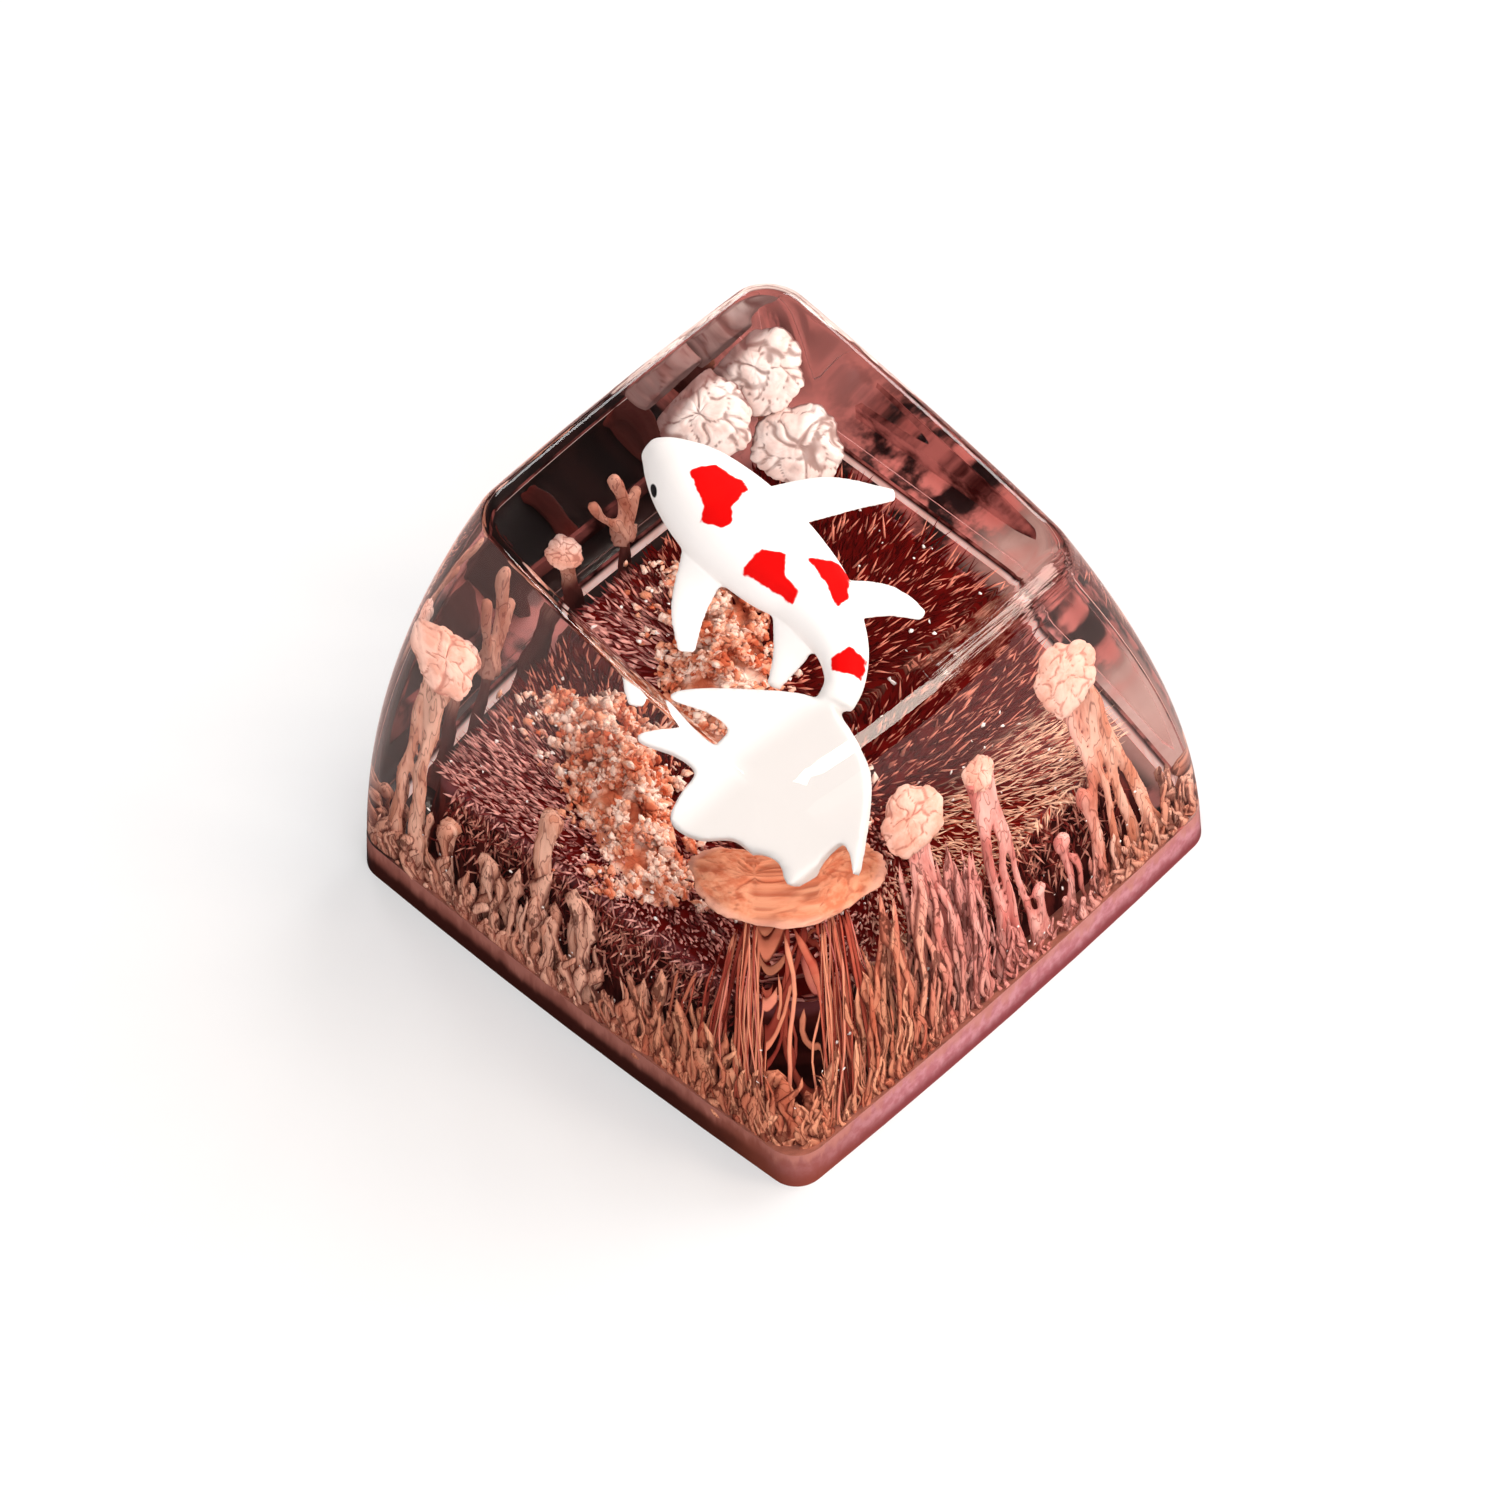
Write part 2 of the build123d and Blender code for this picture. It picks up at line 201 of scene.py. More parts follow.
# %% Rows of the skin
AROUND = 176
HIDDEN_ROWS = 4
WALL_ROWS = 40
EDGE_ROWS = 10
DISH_ROWS = 14
SKIN_ROWS = HIDDEN_ROWS + WALL_ROWS + EDGE_ROWS + DISH_ROWS
EDGE_REACHES = (0.95, 0.55, 0.55, 0.25)  # reach of the round top edge: front, right, back, left
EDGE_BEND = math.cos(math.radians(37))   # pull of the sharp edge on the round one
LIP_INSET = 0.06
LIP_HEIGHT = 1.25
HIDDEN_TOP = 4.65           # inside the ceiling of the dark base
HIDDEN_OFFSET = 0.25
HIDDEN_CORNERS = (1.3, 0.45)


def hidden_row(u, row):
    """Inner side of the skin: middle of the ceiling, its edge, foot of the dark base, then the lip."""
    if row == 3:
        x, y = section(u, level_at(u, LIP_HEIGHT))
        shrink = 1 - LIP_INSET / (BASE_SIDE / 2)
        return np.stack([x * shrink, y * shrink, 0 * x + LIP_HEIGHT], -1)
    height = LIP_HEIGHT if row == 2 else HIDDEN_TOP
    half = CORE_HALF - CORE_LEAN * height / PLATEAU_HEIGHT - HIDDEN_OFFSET
    x, y = rounded_square(u, half, HIDDEN_CORNERS[0 if row == 2 else 1])
    reach = min(row, 1)
    return np.stack([x * reach, y * reach, 0 * x + height], -1)


def edge_reach(u):
    """Reach of the round top edge, which changes from side to side over the corners."""
    side = np.floor(u * 4).astype(int) % 4
    turn = np.clip((u * 4 % 1 - SIDE_SHARE) / (1 - SIDE_SHARE), 0, 1)
    reaches = np.array(EDGE_REACHES)
    return reaches[side] + (reaches[(side + 1) % 4] - reaches[side]) * turn


def skin_row(u, row):
    """One row of the skin, from the hidden ceiling out, up the wall and over the edge to the dish."""
    if row < HIDDEN_ROWS:
        return hidden_row(u, row)
    brink = 0 * u + 1.0
    for _ in range(PASSES):
        brink = 1 + dish(*section(u, brink)) / CAP_HEIGHT
    low = level_at(u, RIM_HEIGHT)
    reach = edge_reach(u)
    high = brink - reach / CAP_HEIGHT
    row -= HIDDEN_ROWS
    if row <= WALL_ROWS:
        return wall_spot(u, low + (high - low) * row / WALL_ROWS)
    x, y = section(u, brink)
    inside = 1 - reach / np.hypot(x, y)
    row -= WALL_ROWS
    if row <= EDGE_ROWS:
        t = row / EDGE_ROWS
        start = wall_spot(u, high)
        corner = wall_spot(u, brink)
        end = stand(x * inside, y * inside, dish(x * inside, y * inside), 1.0)
        weights = np.array([(1 - t)**2, 2 * t * (1 - t) * EDGE_BEND, t**2])
        return (start * weights[0] + corner * weights[1] + end * weights[2]) / weights.sum()
    shrink = inside * (1 - (row - EDGE_ROWS) / DISH_ROWS)
    return stand(x * shrink, y * shrink, dish(x * shrink, y * shrink), 1.0)


# %% [markdown]
# Now the rows become one grid. Edges that bend by more than 35 degrees stay sharp, such as the one at the
# foot, and the rest is shaded smooth.

# %% Resin skin
def skin_place(u, v):
    """Place of every point of the skin."""
    rows = np.rint(v * SKIN_ROWS).astype(int)
    spots = np.empty((len(u), 3))
    for row in range(SKIN_ROWS + 1):
        spots[rows == row] = skin_row(u[rows == row], row)
    return spots


resin = wrapped_grid("clear_resin", AROUND, SKIN_ROWS, skin_place, smooth_angle=35.0)
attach(resin, "root")
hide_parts("clear_resin_body")
print("resin skin:", len(resin.data.polygons), "faces")

# %% [markdown]
# ## Shader maths as Python
# Materials could be wired node by node, but then the idea of each one drowns in links. So they are written
# as expressions. A small class wraps a socket, so that adding or multiplying two of them makes the Math
# node. One method makes any other node from its type, its settings and its sockets.

# %% Socket arithmetic
class Value:
    """A shader socket that takes part in arithmetic."""

    def __init__(self, finish, socket):
        self.finish = finish
        self.socket = socket

    def combined(self, operation, first, second):
        return self.finish.node("ShaderNodeMath", {"operation": operation}, {0: first, 1: second})

    def __add__(self, other):
        return self.combined("ADD", self, other)

    def __radd__(self, other):
        return self.combined("ADD", other, self)

    def __sub__(self, other):
        return self.combined("SUBTRACT", self, other)

    def __rsub__(self, other):
        return self.combined("SUBTRACT", other, self)

    def __mul__(self, other):
        return self.combined("MULTIPLY", self, other)

    def __rmul__(self, other):
        return self.combined("MULTIPLY", other, self)


def srgb(red, green, blue):
    """Linear colour from the 0 to 255 values that a picture editor shows."""
    shares = [c / 255 for c in (red, green, blue)]
    return tuple(c / 12.92 if c <= 0.04045 else ((c + 0.055) / 1.055)**2.4 for c in shares)


def as_colour(content):
    """Colour with its alpha, or a socket as it is."""
    return content if isinstance(content, Value) else (*content, 1.0)


# %% [markdown]
# A finish holds one material. Its methods are the few things that paint is made of here: a place on the
# object, noise, soft steps, and blends of two colours.

# %% Nodes of a finish
NOISE_ROUGHNESS = 0.55


class Finish:
    """A material, or a world, and the nodes that make it."""

    def __init__(self, name, kind="materials"):
        self.holder = getattr(bpy.data, kind).new(name)
        self.holder.use_nodes = True
        self.tree = self.holder.node_tree
        self.tree.nodes.clear()

    def node(self, kind, settings=None, sockets=None, out=0):
        """Adds a node, sets it up and fills its sockets, and gives one of its outputs."""
        made = self.tree.nodes.new(kind)
        for key, setting in (settings or {}).items():
            if key == "stops":
                self.fill_ramp(made.color_ramp, setting)
            else:
                setattr(made, key, setting)
        for key, content in (sockets or {}).items():
            if isinstance(content, Value):
                self.tree.links.new(content.socket, made.inputs[key])
            else:
                made.inputs[key].default_value = content
        return Value(self, made.outputs[out])

    @staticmethod
    def fill_ramp(ramp, stops):
        """Sets the stops of a colour ramp."""
        while len(ramp.elements) < len(stops):
            ramp.elements.new(1.0)
        for element, (position, colour) in zip(ramp.elements, stops):
            element.position = position
            element.color = (*colour, 1.0)

    def place(self, scale=(1.0, 1.0, 1.0)):
        """Object coordinates in millimetres, stretched."""
        spot = self.node("ShaderNodeTexCoord", out="Object")
        stretch = tuple(s / MM for s in scale)
        return self.node("ShaderNodeMapping", None, {"Vector": spot, "Scale": stretch})

    def parts(self, vector):
        """The three coordinates of a vector."""
        return [self.node("ShaderNodeSeparateXYZ", None, {0: vector}, out=i) for i in range(3)]

    def turned(self):
        """The three coordinates of the direction that the surface faces."""
        return self.parts(self.node("ShaderNodeNewGeometry", out="Normal"))

    def distance(self, vector, point):
        """Distance from a point."""
        sockets = {0: vector, 1: tuple(point)}
        return self.node("ShaderNodeVectorMath", {"operation": "DISTANCE"}, sockets, out="Value")

    def kept(self, name):
        """A number that every point of the piece keeps."""
        return self.node("ShaderNodeAttribute", {"attribute_name": name}, out="Fac")

    def noise(self, vector, scale, detail=3.0):
        """Noise from 0 to 1."""
        return self.node("ShaderNodeTexNoise", None,
                         {"Vector": vector, "Scale": scale, "Detail": detail, "Roughness": NOISE_ROUGHNESS})

    def smooth(self, value, low, high):
        """0 under low, 1 over high, and a soft step between."""
        return self.node("ShaderNodeMapRange", {"interpolation_type": "SMOOTHSTEP"},
                         {"Value": value, "From Min": low, "From Max": high})

    def blots(self, vector, scale, detail, low=0.35, high=0.65):
        """Noise drawn apart into blots with soft edges."""
        return self.smooth(self.noise(vector, scale, detail), low, high)

    def larger(self, first, second):
        """The larger of two values."""
        return self.node("ShaderNodeMath", {"operation": "MAXIMUM"}, {0: first, 1: second})

    def blend(self, factor, first, second):
        """Colour between two colours."""
        sockets = {0: factor, 6: as_colour(first), 7: as_colour(second)}
        return self.node("ShaderNodeMix", {"data_type": "RGBA"}, sockets, out=2)

    def ray(self, kind):
        """1 for rays of a kind, 0 for others."""
        return self.node("ShaderNodeLightPath", out=kind)

    def either(self, factor, first, second):
        """The first shader where the factor is 0, the second where it is 1."""
        return self.node("ShaderNodeMixShader", None, {0: factor, 1: first, 2: second})

    def principled(self, colour, roughness, specular, sockets=None):
        """Principled shader."""
        return self.node("ShaderNodeBsdfPrincipled", None, {
            "Base Color": colour, "Roughness": roughness, "Specular IOR Level": specular, **(sockets or {})})

    def output(self, shader, kind="ShaderNodeOutputMaterial"):
        """Ends the nodes at this shader."""
        end = self.tree.nodes.new(kind)
        self.tree.links.new(shader.socket, end.inputs["Surface"])
        return self.holder

    def matt(self, colour, roughness=0.9, specular=0.0):
        """Ends the nodes as a matt surface."""
        return self.output(self.principled(colour, roughness, specular))


def wear(piece, material):
    """Gives a piece one material."""
    piece.data.materials.clear()
    piece.data.materials.append(material)
    print(piece.name, "wears", material.name)


# %% [markdown]
# ## Resin finish
# The resin is polished and nearly colourless. Real lamps shine through it onto the fish. A renderer would
# lose that light at the bend, so rays that look for a lamp, and rays that a matt surface sends out, pass
# the skin as if it weren't there. Fine polishing marks run along the round front edge. They are too shallow
# to model, so they are a bump there.

# %% Clear resin
RESIN_IOR = 1.5
RESIN_SPECULAR = 0.5


def clear_resin():
    finish = Finish("clear_resin")
    x, y, z = finish.parts(finish.place())
    by_edge = finish.smooth(y, -5.4, -5.8) * finish.smooth(z, 12.3, 12.75) * finish.smooth(x, -0.5, 1.0)
    streak = finish.noise(finish.place((0.2, 4.0, 4.0)), 1.0)
    marks = {"Strength": 0.55, "Distance": 0.12 * MM, "Height": streak * by_edge}
    polish = finish.node("ShaderNodeBump", None, marks)
    glass = finish.principled((1.0, 0.985, 0.98, 1.0), 0.0, RESIN_SPECULAR,
                              {"IOR": RESIN_IOR, "Transmission Weight": 1.0, "Normal": polish})
    clear = finish.node("ShaderNodeBsdfTransparent")
    soft = finish.either(finish.ray("Is Diffuse Ray"), glass, clear)
    return finish.output(finish.either(finish.ray("Is Shadow Ray"), soft, clear))


wear(resin, clear_resin())

# %% [markdown]
# ## Pigment that stands like stalagmites
# Pigment sank into the soft resin and left hundreds of stalks that stand on the rim. Each could be sculpted,
# but one plain stalk can be the model, and every copy then gets its own points. A place is counted along
# the walls from the near corner: to the right along the front wall, to the left along the left wall.

# %% Places along the walls
PERIMETER_STEPS = 4000
RIM_LEVEL = 0.1
NEAR_CORNER_TURN = 0.95     # share of the way round a section where the near corner is
wall_turns = np.linspace(0, 1, PERIMETER_STEPS, endpoint=False)
rim_ring = np.stack(section(wall_turns, 0 * wall_turns + RIM_LEVEL), -1)
wall_runs = np.concatenate([[0], np.cumsum(np.linalg.norm(np.diff(rim_ring, axis=0), axis=1))])
PERIMETER = wall_runs[-1] * PERIMETER_STEPS / (PERIMETER_STEPS - 1)
NEAR_CORNER = np.interp(NEAR_CORNER_TURN, wall_turns, wall_runs)


def behind_wall(run, height, inset):
    """Points at a run along the walls from the near corner, at a height, behind the wall by an inset."""
    u = np.interp((run + NEAR_CORNER) % PERIMETER, wall_runs, wall_turns)
    level = 0 * u + height / CAP_HEIGHT
    for _ in range(PASSES):
        x, y = section(u, level)
        keep_in = 1 - inset / wall_half(level)
        level = (height - y * keep_in * np.sin(TOP_TILT * level)) / CAP_HEIGHT
    return stand(x * keep_in, y * keep_in, 0 * x, level)


print("way round the cap in mm:", round(PERIMETER, 1))

# %% [markdown]
# Geometry Nodes could scatter copies, but here each copy also bends its own way. So the points of all
# copies are worked out together, as one array, and become one mesh. Every point keeps a tone, the same all
# over one copy, and how far to the side of its stalk it lies. The finishes read both.

# %% Copies of a model
rng = np.random.default_rng(7)


def unit(vectors):
    """Vectors made one long."""
    return vectors / np.linalg.norm(vectors, axis=-1, keepdims=True)


def pick(pieces):
    """Selects these pieces alone and makes the first one active."""
    bpy.ops.object.select_all(action="DESELECT")
    for piece in pieces:
        piece.select_set(True)
    bpy.context.view_layer.objects.active = pieces[0]


def keep(piece, name, numbers):
    """Stores a number on every point of a piece."""
    piece.data.attributes.new(name, "FLOAT", "POINT").data.foreach_set("value", numbers)


def unit_stalk(around, rows):
    """A closed stalk of unit radius and height, as the model that is copied."""
    def place(u, v):
        turn = u * 2 * math.pi
        open_end = np.where(v < 1 - 0.5 / rows, 1.0, 0.0)
        return np.stack([np.cos(turn) * open_end, np.sin(turn) * open_end, v], -1)

    return wrapped_grid("model", around, rows, place)


def repeated(name, model, spots_of):
    """Copies of a model, each with its own points: spots_of(x, y, t) gives them as copies, points, axes."""
    x, y, t = (points_of(model) / MM).T
    spots = spots_of(x, y, t)
    faces = [tuple(face.vertices) for face in model.data.polygons]
    step = len(x)
    shifted = [[i + step * copy for i in face] for copy in range(len(spots)) for face in faces]
    mesh = bpy.data.meshes.new(name)
    mesh.from_pydata((spots.reshape(-1, 3) * MM).tolist(), [], shifted)
    piece = bpy.data.objects.new(name, mesh)
    keep(piece, "tone", np.repeat(rng.random(len(spots)), step))
    keep(piece, "aside", np.tile(np.abs(x), len(spots)))
    bpy.context.scene.collection.objects.link(piece)
    bpy.data.objects.remove(model)
    pick([piece])
    bpy.ops.object.shade_smooth()
    return piece


# %% [markdown]
# ## Joined and melted pieces
# Wax-like pigment has no sharp joints. Booleans would leave sharp seams where stalks meet, so pieces that
# should flow into each other are joined, and a voxel remesh melts them into one skin, which a few rounds of
# smoothing then soften.

# %% Join and melt
def joined(pieces, name):
    """One object from several."""
    pick(pieces)
    bpy.ops.object.join()
    whole = bpy.context.object
    whole.name = whole.data.name = name
    return whole


def melted(pieces, name, voxel, smoothing):
    """Joins pieces and melts them into one skin."""
    whole = joined(pieces, name)
    melt = whole.modifiers.new("melt", "REMESH")
    melt.mode = "VOXEL"
    melt.voxel_size = voxel * MM
    soften = whole.modifiers.new("soften", "SMOOTH")
    soften.iterations = smoothing
    for modifier in (melt, soften):
        bpy.ops.object.modifier_apply(modifier=modifier.name)
    bpy.ops.object.shade_smooth()
    return whole


# %% [markdown]
# ## Tongues along the rim
# Along the two near walls stand hundreds of tongues: a low fringe like flames, and columns of a few
# millimetres among them. A remesh would swallow tongues this thin, so they are only joined. Each copy of
# the stalk gets its own height, width, sway and depth behind the wall.

# %% Sizes of the tongues
TONGUE_ROOT = 0.35          # what of a tongue is hidden in the rim
RIM_REACH = 19.4            # run from the near corner to just past the next corners
CLUMP_COUNT = 66
# how many, then the least and most half width and depth behind the wall
STUBS = (260, (0.1, 0.2), (0.22, 0.6))
FLAMES = (300, (0.08, 0.16), (0.28, 0.8))
CORNER_FLAMES = (120, (0.06, 0.14), (0.28, 1.0))
COLUMNS = (250, (0.08, 0.15), (0.4, 1.3))
COLUMN_GROWTH = 0.006       # what each millimetre of height adds to a column's half width
# run from the near corner, share of the columns, height of the tallest column
COLUMN_ROWS = np.array([
    (-18.0, 0.5, 2.6), (-16.0, 0.6, 3.6), (-13.0, 0.5, 3.0), (-10.5, 0.7, 5.0), (-8.0, 0.6, 4.4),
    (-6.0, 0.3, 2.6), (-4.5, 0.6, 3.8), (-2.0, 0.4, 2.8), (0.6, 0.5, 3.0), (1.0, 0.05, 0.8),
    (1.8, 0.05, 0.8), (2.2, 0.9, 5.0), (5.0, 2.2, 7.0), (7.5, 2.2, 6.6), (9.0, 1.0, 4.0),
    (10.0, 0.1, 1.0), (11.4, 0.15, 1.0), (12.6, 0.6, 2.6), (15.0, 0.5, 2.2), (18.0, 0.4, 2.0)])
# run from the near corner, and what the half width is multiplied by there
TONGUE_GIRTH = ([-18, -2, 2, 10, 18], [1.5, 1.15, 0.75, 0.8, 1.3])
# radius up the stalk, in shares of the half width
COLUMN_SHAPE = np.array([1.7, 1.2, 1.0, 0.85, 0.8, 0.85, 1.0, 1.15, 1.0, 0.0])
FLAME_SHAPE = np.array([1.0, 1.05, 1.1, 1.1, 1.0, 0.85, 0.65, 0.55, 0.5, 0.0])
print("tongues to make:", sum(kind[0] for kind in (STUBS, FLAMES, CORNER_FLAMES, COLUMNS)))

# %% [markdown]
# A real tongue leans, waves and swells a little on its way up, and is flatter than round. These are drawn
# at random for all copies at once, so that no two are alike.

# %% Copies of a tongue
def tongue_copies(name, kind, run, height, shape, growth=0.0):
    """Copies of a stalk that stand on the rim behind the walls."""
    count, widths, depths = kind
    wide = rng.uniform(*widths, count) + growth * height
    depth = rng.uniform(*depths, count)
    sway = rng.normal(0, 0.13, count) * (0.4 + height / 2)
    wave = rng.uniform(0.03, 0.2, count)
    phase = rng.uniform(0, 2 * math.pi, count)
    flat = rng.uniform(0.5, 0.85, count)
    knob = rng.uniform(0.8, 1.7, count)
    wide = wide * np.interp(run, *TONGUE_GIRTH)
    draws = (run, height, wide, depth, sway, wave, phase, flat, knob)
    run, height, wide, depth, sway, wave, phase, flat, knob = [draw[:, None] for draw in draws]

    def spots_of(x, y, t):
        rise = RIM_HEIGHT - TONGUE_ROOT + (height + TONGUE_ROOT) * t
        bend = sway * t**2 + wave * np.sin(phase + 6 * t * height**0.5)
        inset = depth + 0.08 * np.cos(phase + 5 * t)
        centre = behind_wall(run + bend, rise, inset)
        ahead = unit(behind_wall(run + bend + 0.05, rise, inset) - centre)
        outward = unit(np.cross(ahead, (0, 0, 1.0)))
        profile = np.interp(t, np.linspace(0, 1, len(shape)), shape)
        swell = 1 + (knob - 1) * np.sin(np.clip((t - 0.6) / 0.4, 0, 1) * math.pi)
        swell = swell * (1 + 0.36 * np.sin(2 * phase + 5.5 * t * height))
        across = (wide * profile * swell * x)[..., None]
        inwards = (wide * flat * profile * swell * y)[..., None]
        return centre + ahead * across + outward * inwards

    return repeated(name, unit_stalk(8, 9), spots_of)


def clumped(count, reach):
    """Runs that lie in clumps, and the height share of their clump."""
    middle = rng.uniform(-reach, reach, CLUMP_COUNT)
    share = rng.uniform(0.45, 1.0, CLUMP_COUNT)
    clump = rng.integers(0, CLUMP_COUNT, count)
    return middle[clump] + rng.normal(0, 0.15, count), share[clump]


def tallest(run):
    """Height of the tallest column at a run."""
    return np.interp(run, COLUMN_ROWS[:, 0], COLUMN_ROWS[:, 2])


# %% [markdown]
# Four kinds of tongue overlap: short stubs everywhere, flames in clumps, more flames about the near corner,
# and slim columns where the real cap has tall ones.

# %% Tongues
def stubs():
    count = STUBS[0]
    run = rng.uniform(-RIM_REACH, RIM_REACH, count)
    return tongue_copies("stubs", STUBS, run, rng.uniform(0.15, 0.85, count), FLAME_SHAPE)


def flames():
    count = FLAMES[0]
    run, share = clumped(count, RIM_REACH)
    height = share * (rng.uniform(0.5, 1.2, count) + 0.5 * tallest(run) * rng.random(count)**1.3)
    return tongue_copies("flames", FLAMES, run, height, FLAME_SHAPE)


def corner_flames():
    """Flames about the near corner, with a gap to the right of it."""
    count = CORNER_FLAMES[0]
    run = rng.normal(0, 3.2, count)
    height = rng.uniform(0.5, 2.8, count)
    run[np.abs(run - 1.4) < 0.35] -= 0.8
    return tongue_copies("corner", CORNER_FLAMES, run, height, FLAME_SHAPE)


def columns():
    count = COLUMNS[0]
    steps = np.linspace(-RIM_REACH, RIM_REACH, 400)
    crowd = np.interp(steps, COLUMN_ROWS[:, 0], COLUMN_ROWS[:, 1])
    run = np.interp(rng.random(count), np.cumsum(crowd) / crowd.sum(), steps)
    height = tallest(run) * (0.3 + 0.7 * rng.random(count)**1.4)
    return tongue_copies("columns", COLUMNS, run, height, COLUMN_SHAPE, COLUMN_GROWTH)


tongue_piece = joined([stubs(), flames(), corner_flames(), columns()], "pigment_tongues")
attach(tongue_piece, "root")
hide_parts("pigment_fringe")
print("tongues:", len(tongue_piece.data.polygons), "faces")

# %% [markdown]
# ## The curtain
# At the near corner thin strands hang like a curtain from an orange umbrella of pigment under the tail.
# Curves with a round bevel could make them, but a copied stalk also gives each one a wide foot and a tone
# of its own.

# %% Curtain strands
VEIL_CENTRE = np.array([-4.57, -4.57, 8.0])
VEIL_REACH = 1.75
STRAND_COUNT = 180
CORNER_HEADING = math.radians(225)
STRAND_FAN = math.radians(75) / 6.5     # turn about the veil for each millimetre of run
STRAND_BELLY = 0.55         # how far the middle of a strand bows outwards
# share of the way up, and radius in shares of the width
STRAND_SHAPE = ([0, 0.08, 0.3, 0.85, 0.95, 1.0], [2.6, 1.5, 1.0, 0.9, 1.2, 0.0])


def strands():
    run = rng.normal(0.4, 2.9, STRAND_COUNT).clip(-5.6, 7.0)
    run = run + 0.15 * np.sign(run)
    depth = rng.uniform(0.4, 1.7, STRAND_COUNT)
    corner = np.exp(-(run / 3.4)**2)
    share = np.clip(rng.uniform(0.35, 1.25, STRAND_COUNT) * (0.35 + corner), 0.2, 1.0)[:, None]
    width = 0.02 + 0.03 * rng.random(STRAND_COUNT)**2
    width = (width * np.interp(np.abs(run), [0.3, 2.0], [0.4, 1.0]))[:, None]
    phase = rng.uniform(0, 2 * math.pi, STRAND_COUNT)[:, None]
    wave = rng.uniform(0.03, 0.1, STRAND_COUNT)[:, None]
    turn = CORNER_HEADING + run * STRAND_FAN + rng.normal(0, 0.16, STRAND_COUNT)
    reach = VEIL_REACH * rng.uniform(0.5, 1.0, STRAND_COUNT)
    drop = rng.uniform(-0.8, -0.25, STRAND_COUNT)
    top = VEIL_CENTRE + np.stack([np.cos(turn) * reach, np.sin(turn) * reach, drop], -1)

    def spots_of(x, y, t):
        foot = behind_wall(run, RIM_HEIGHT - TONGUE_ROOT + 0 * run, depth)
        lift = (share * t)[..., None]
        centre = foot[:, None] + (top - foot)[:, None] * lift
        belly = STRAND_BELLY * np.sin(lift * math.pi)
        outward = unit(np.stack([np.cos(turn), np.sin(turn), 0 * turn], -1))[:, None]
        ahead = np.cross((0, 0, 1.0), outward)
        swing = wave * (np.sin(phase + 5 * t) + 0.4 * np.sin(2 * phase + 13 * t))
        centre = centre + outward * belly + ahead * swing[..., None]
        profile = np.interp(t, *STRAND_SHAPE)
        across = ahead * (width * profile * x * 1.5)[..., None]
        return centre + across + outward * (width * profile * y * 0.8)[..., None]

    return repeated("curtain_strands", unit_stalk(8, 12), spots_of)


strand_piece = strands()
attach(strand_piece, "root")
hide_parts("curtain_veil", "pigment_plumes")
print("strands:", len(strand_piece.data.polygons), "faces")

# %% [markdown]
# ## Plumes with blossom caps
# The tall plumes have the places and heights of the CAD plumes. Each stalk flares at its foot and is
# fluted, which a bevelled curve can't be, so it is a wrapped grid whose radius follows noise. A plume with
# a cap stands on a bundle of such stalks, and the others end in a round head.

# %% Sizes of the plumes
# side, place along it, height and radius of the head, radius of the stalk, stalks under a cap (0 for a club)
PLUMES = {
    "tall_left": ("left", 0.9, 10.3, 1.2, 0.58, 2),
    "left_middle": ("left", 0.22, 7.6, 0.36, 0.3, 0),
    "left_low_far": ("left", 0.68, 4.6, 0.36, 0.24, 0),
    "left_low_middle": ("left", 0.48, 4.2, 0.34, 0.24, 0),
    "left_low_near": ("left", 0.03, 5.1, 0.4, 0.28, 0),
    "tall_right": ("front", 0.7, 9.5, 1.2, 0.4, 4),
    "tall_right_companion": ("front", 0.56, 5.6, 0.26, 0.16, 0),
    "broken_column": ("front", 0.1, 8.8, 0.6, 0.36, 3),
    "front_blossom": ("front", -0.3, 9.2, 1.15, 0.36, 3),
    "club": ("front", 0.39, 4.6, 0.3, 0.16, 0),
    "front_low": ("front", 0.25, 3.6, 0.26, 0.16, 0),
    "back_blossom": ("back", 0.5, 9.2, 1.6, 0.28, 1),
    "back_corner_blossom": ("back", 0.84, 9.4, 1.55, 0.28, 1),
}
# points along the tendrils by the back wall, and the radius of their stalk
TENDRILS = [
    ([(-0.1, 7.9, 1.1), (-0.2, 7.6, 3.4), (-0.1, 7.5, 5.4), (0.1, 7.45, 7.2), (0.1, 7.4, 9.0)], 0.17),
    ([(-0.1, 7.5, 5.0), (0.45, 7.5, 6.3), (0.8, 7.45, 7.3)], 0.15),
    ([(-0.1, 7.5, 5.2), (-0.65, 7.5, 6.7), (-0.95, 7.4, 8.4)], 0.16),
    ([(-2.3, 7.9, 1.1), (-2.5, 7.6, 4.4), (-2.6, 7.5, 7.0)], 0.24),
]
MUSHROOM = (-2.6, 7.3, 7.2)
PLATEAU_BLOSSOM = (5.2, 4.7)
PLATEAU_BLOSSOM_RISE = 2.7
PLUME_INSET = 1.05
CAP_MARGIN = 0.12           # least resin between a cap and the wall
NORMALS = {"front": (0, -1), "back": (0, 1), "left": (-1, 0)}
RUNS = {"front": (1, 0), "back": (1, 0), "left": (0, 1)}
STALK_SHAPE = [2.5, 1.6, 1.2, 1.0, 0.92, 0.92, 1.0, 1.15, 1.3]
STALK_SIDES = 24
STALK_SWAY = 0.18           # most that an axis moves aside
STALK_MELT = (0.085, 1)     # voxel, and rounds of smoothing
FLUTE_DEPTH = 0.5           # share of the radius
AXIS_POINTS = 48
print("plumes and tendrils:", len(PLUMES), "and", len(TENDRILS))

# %% [markdown]
# A stalk needs an axis first. It follows the wall at one inset, as in the CAD model, and noise makes it
# sway.

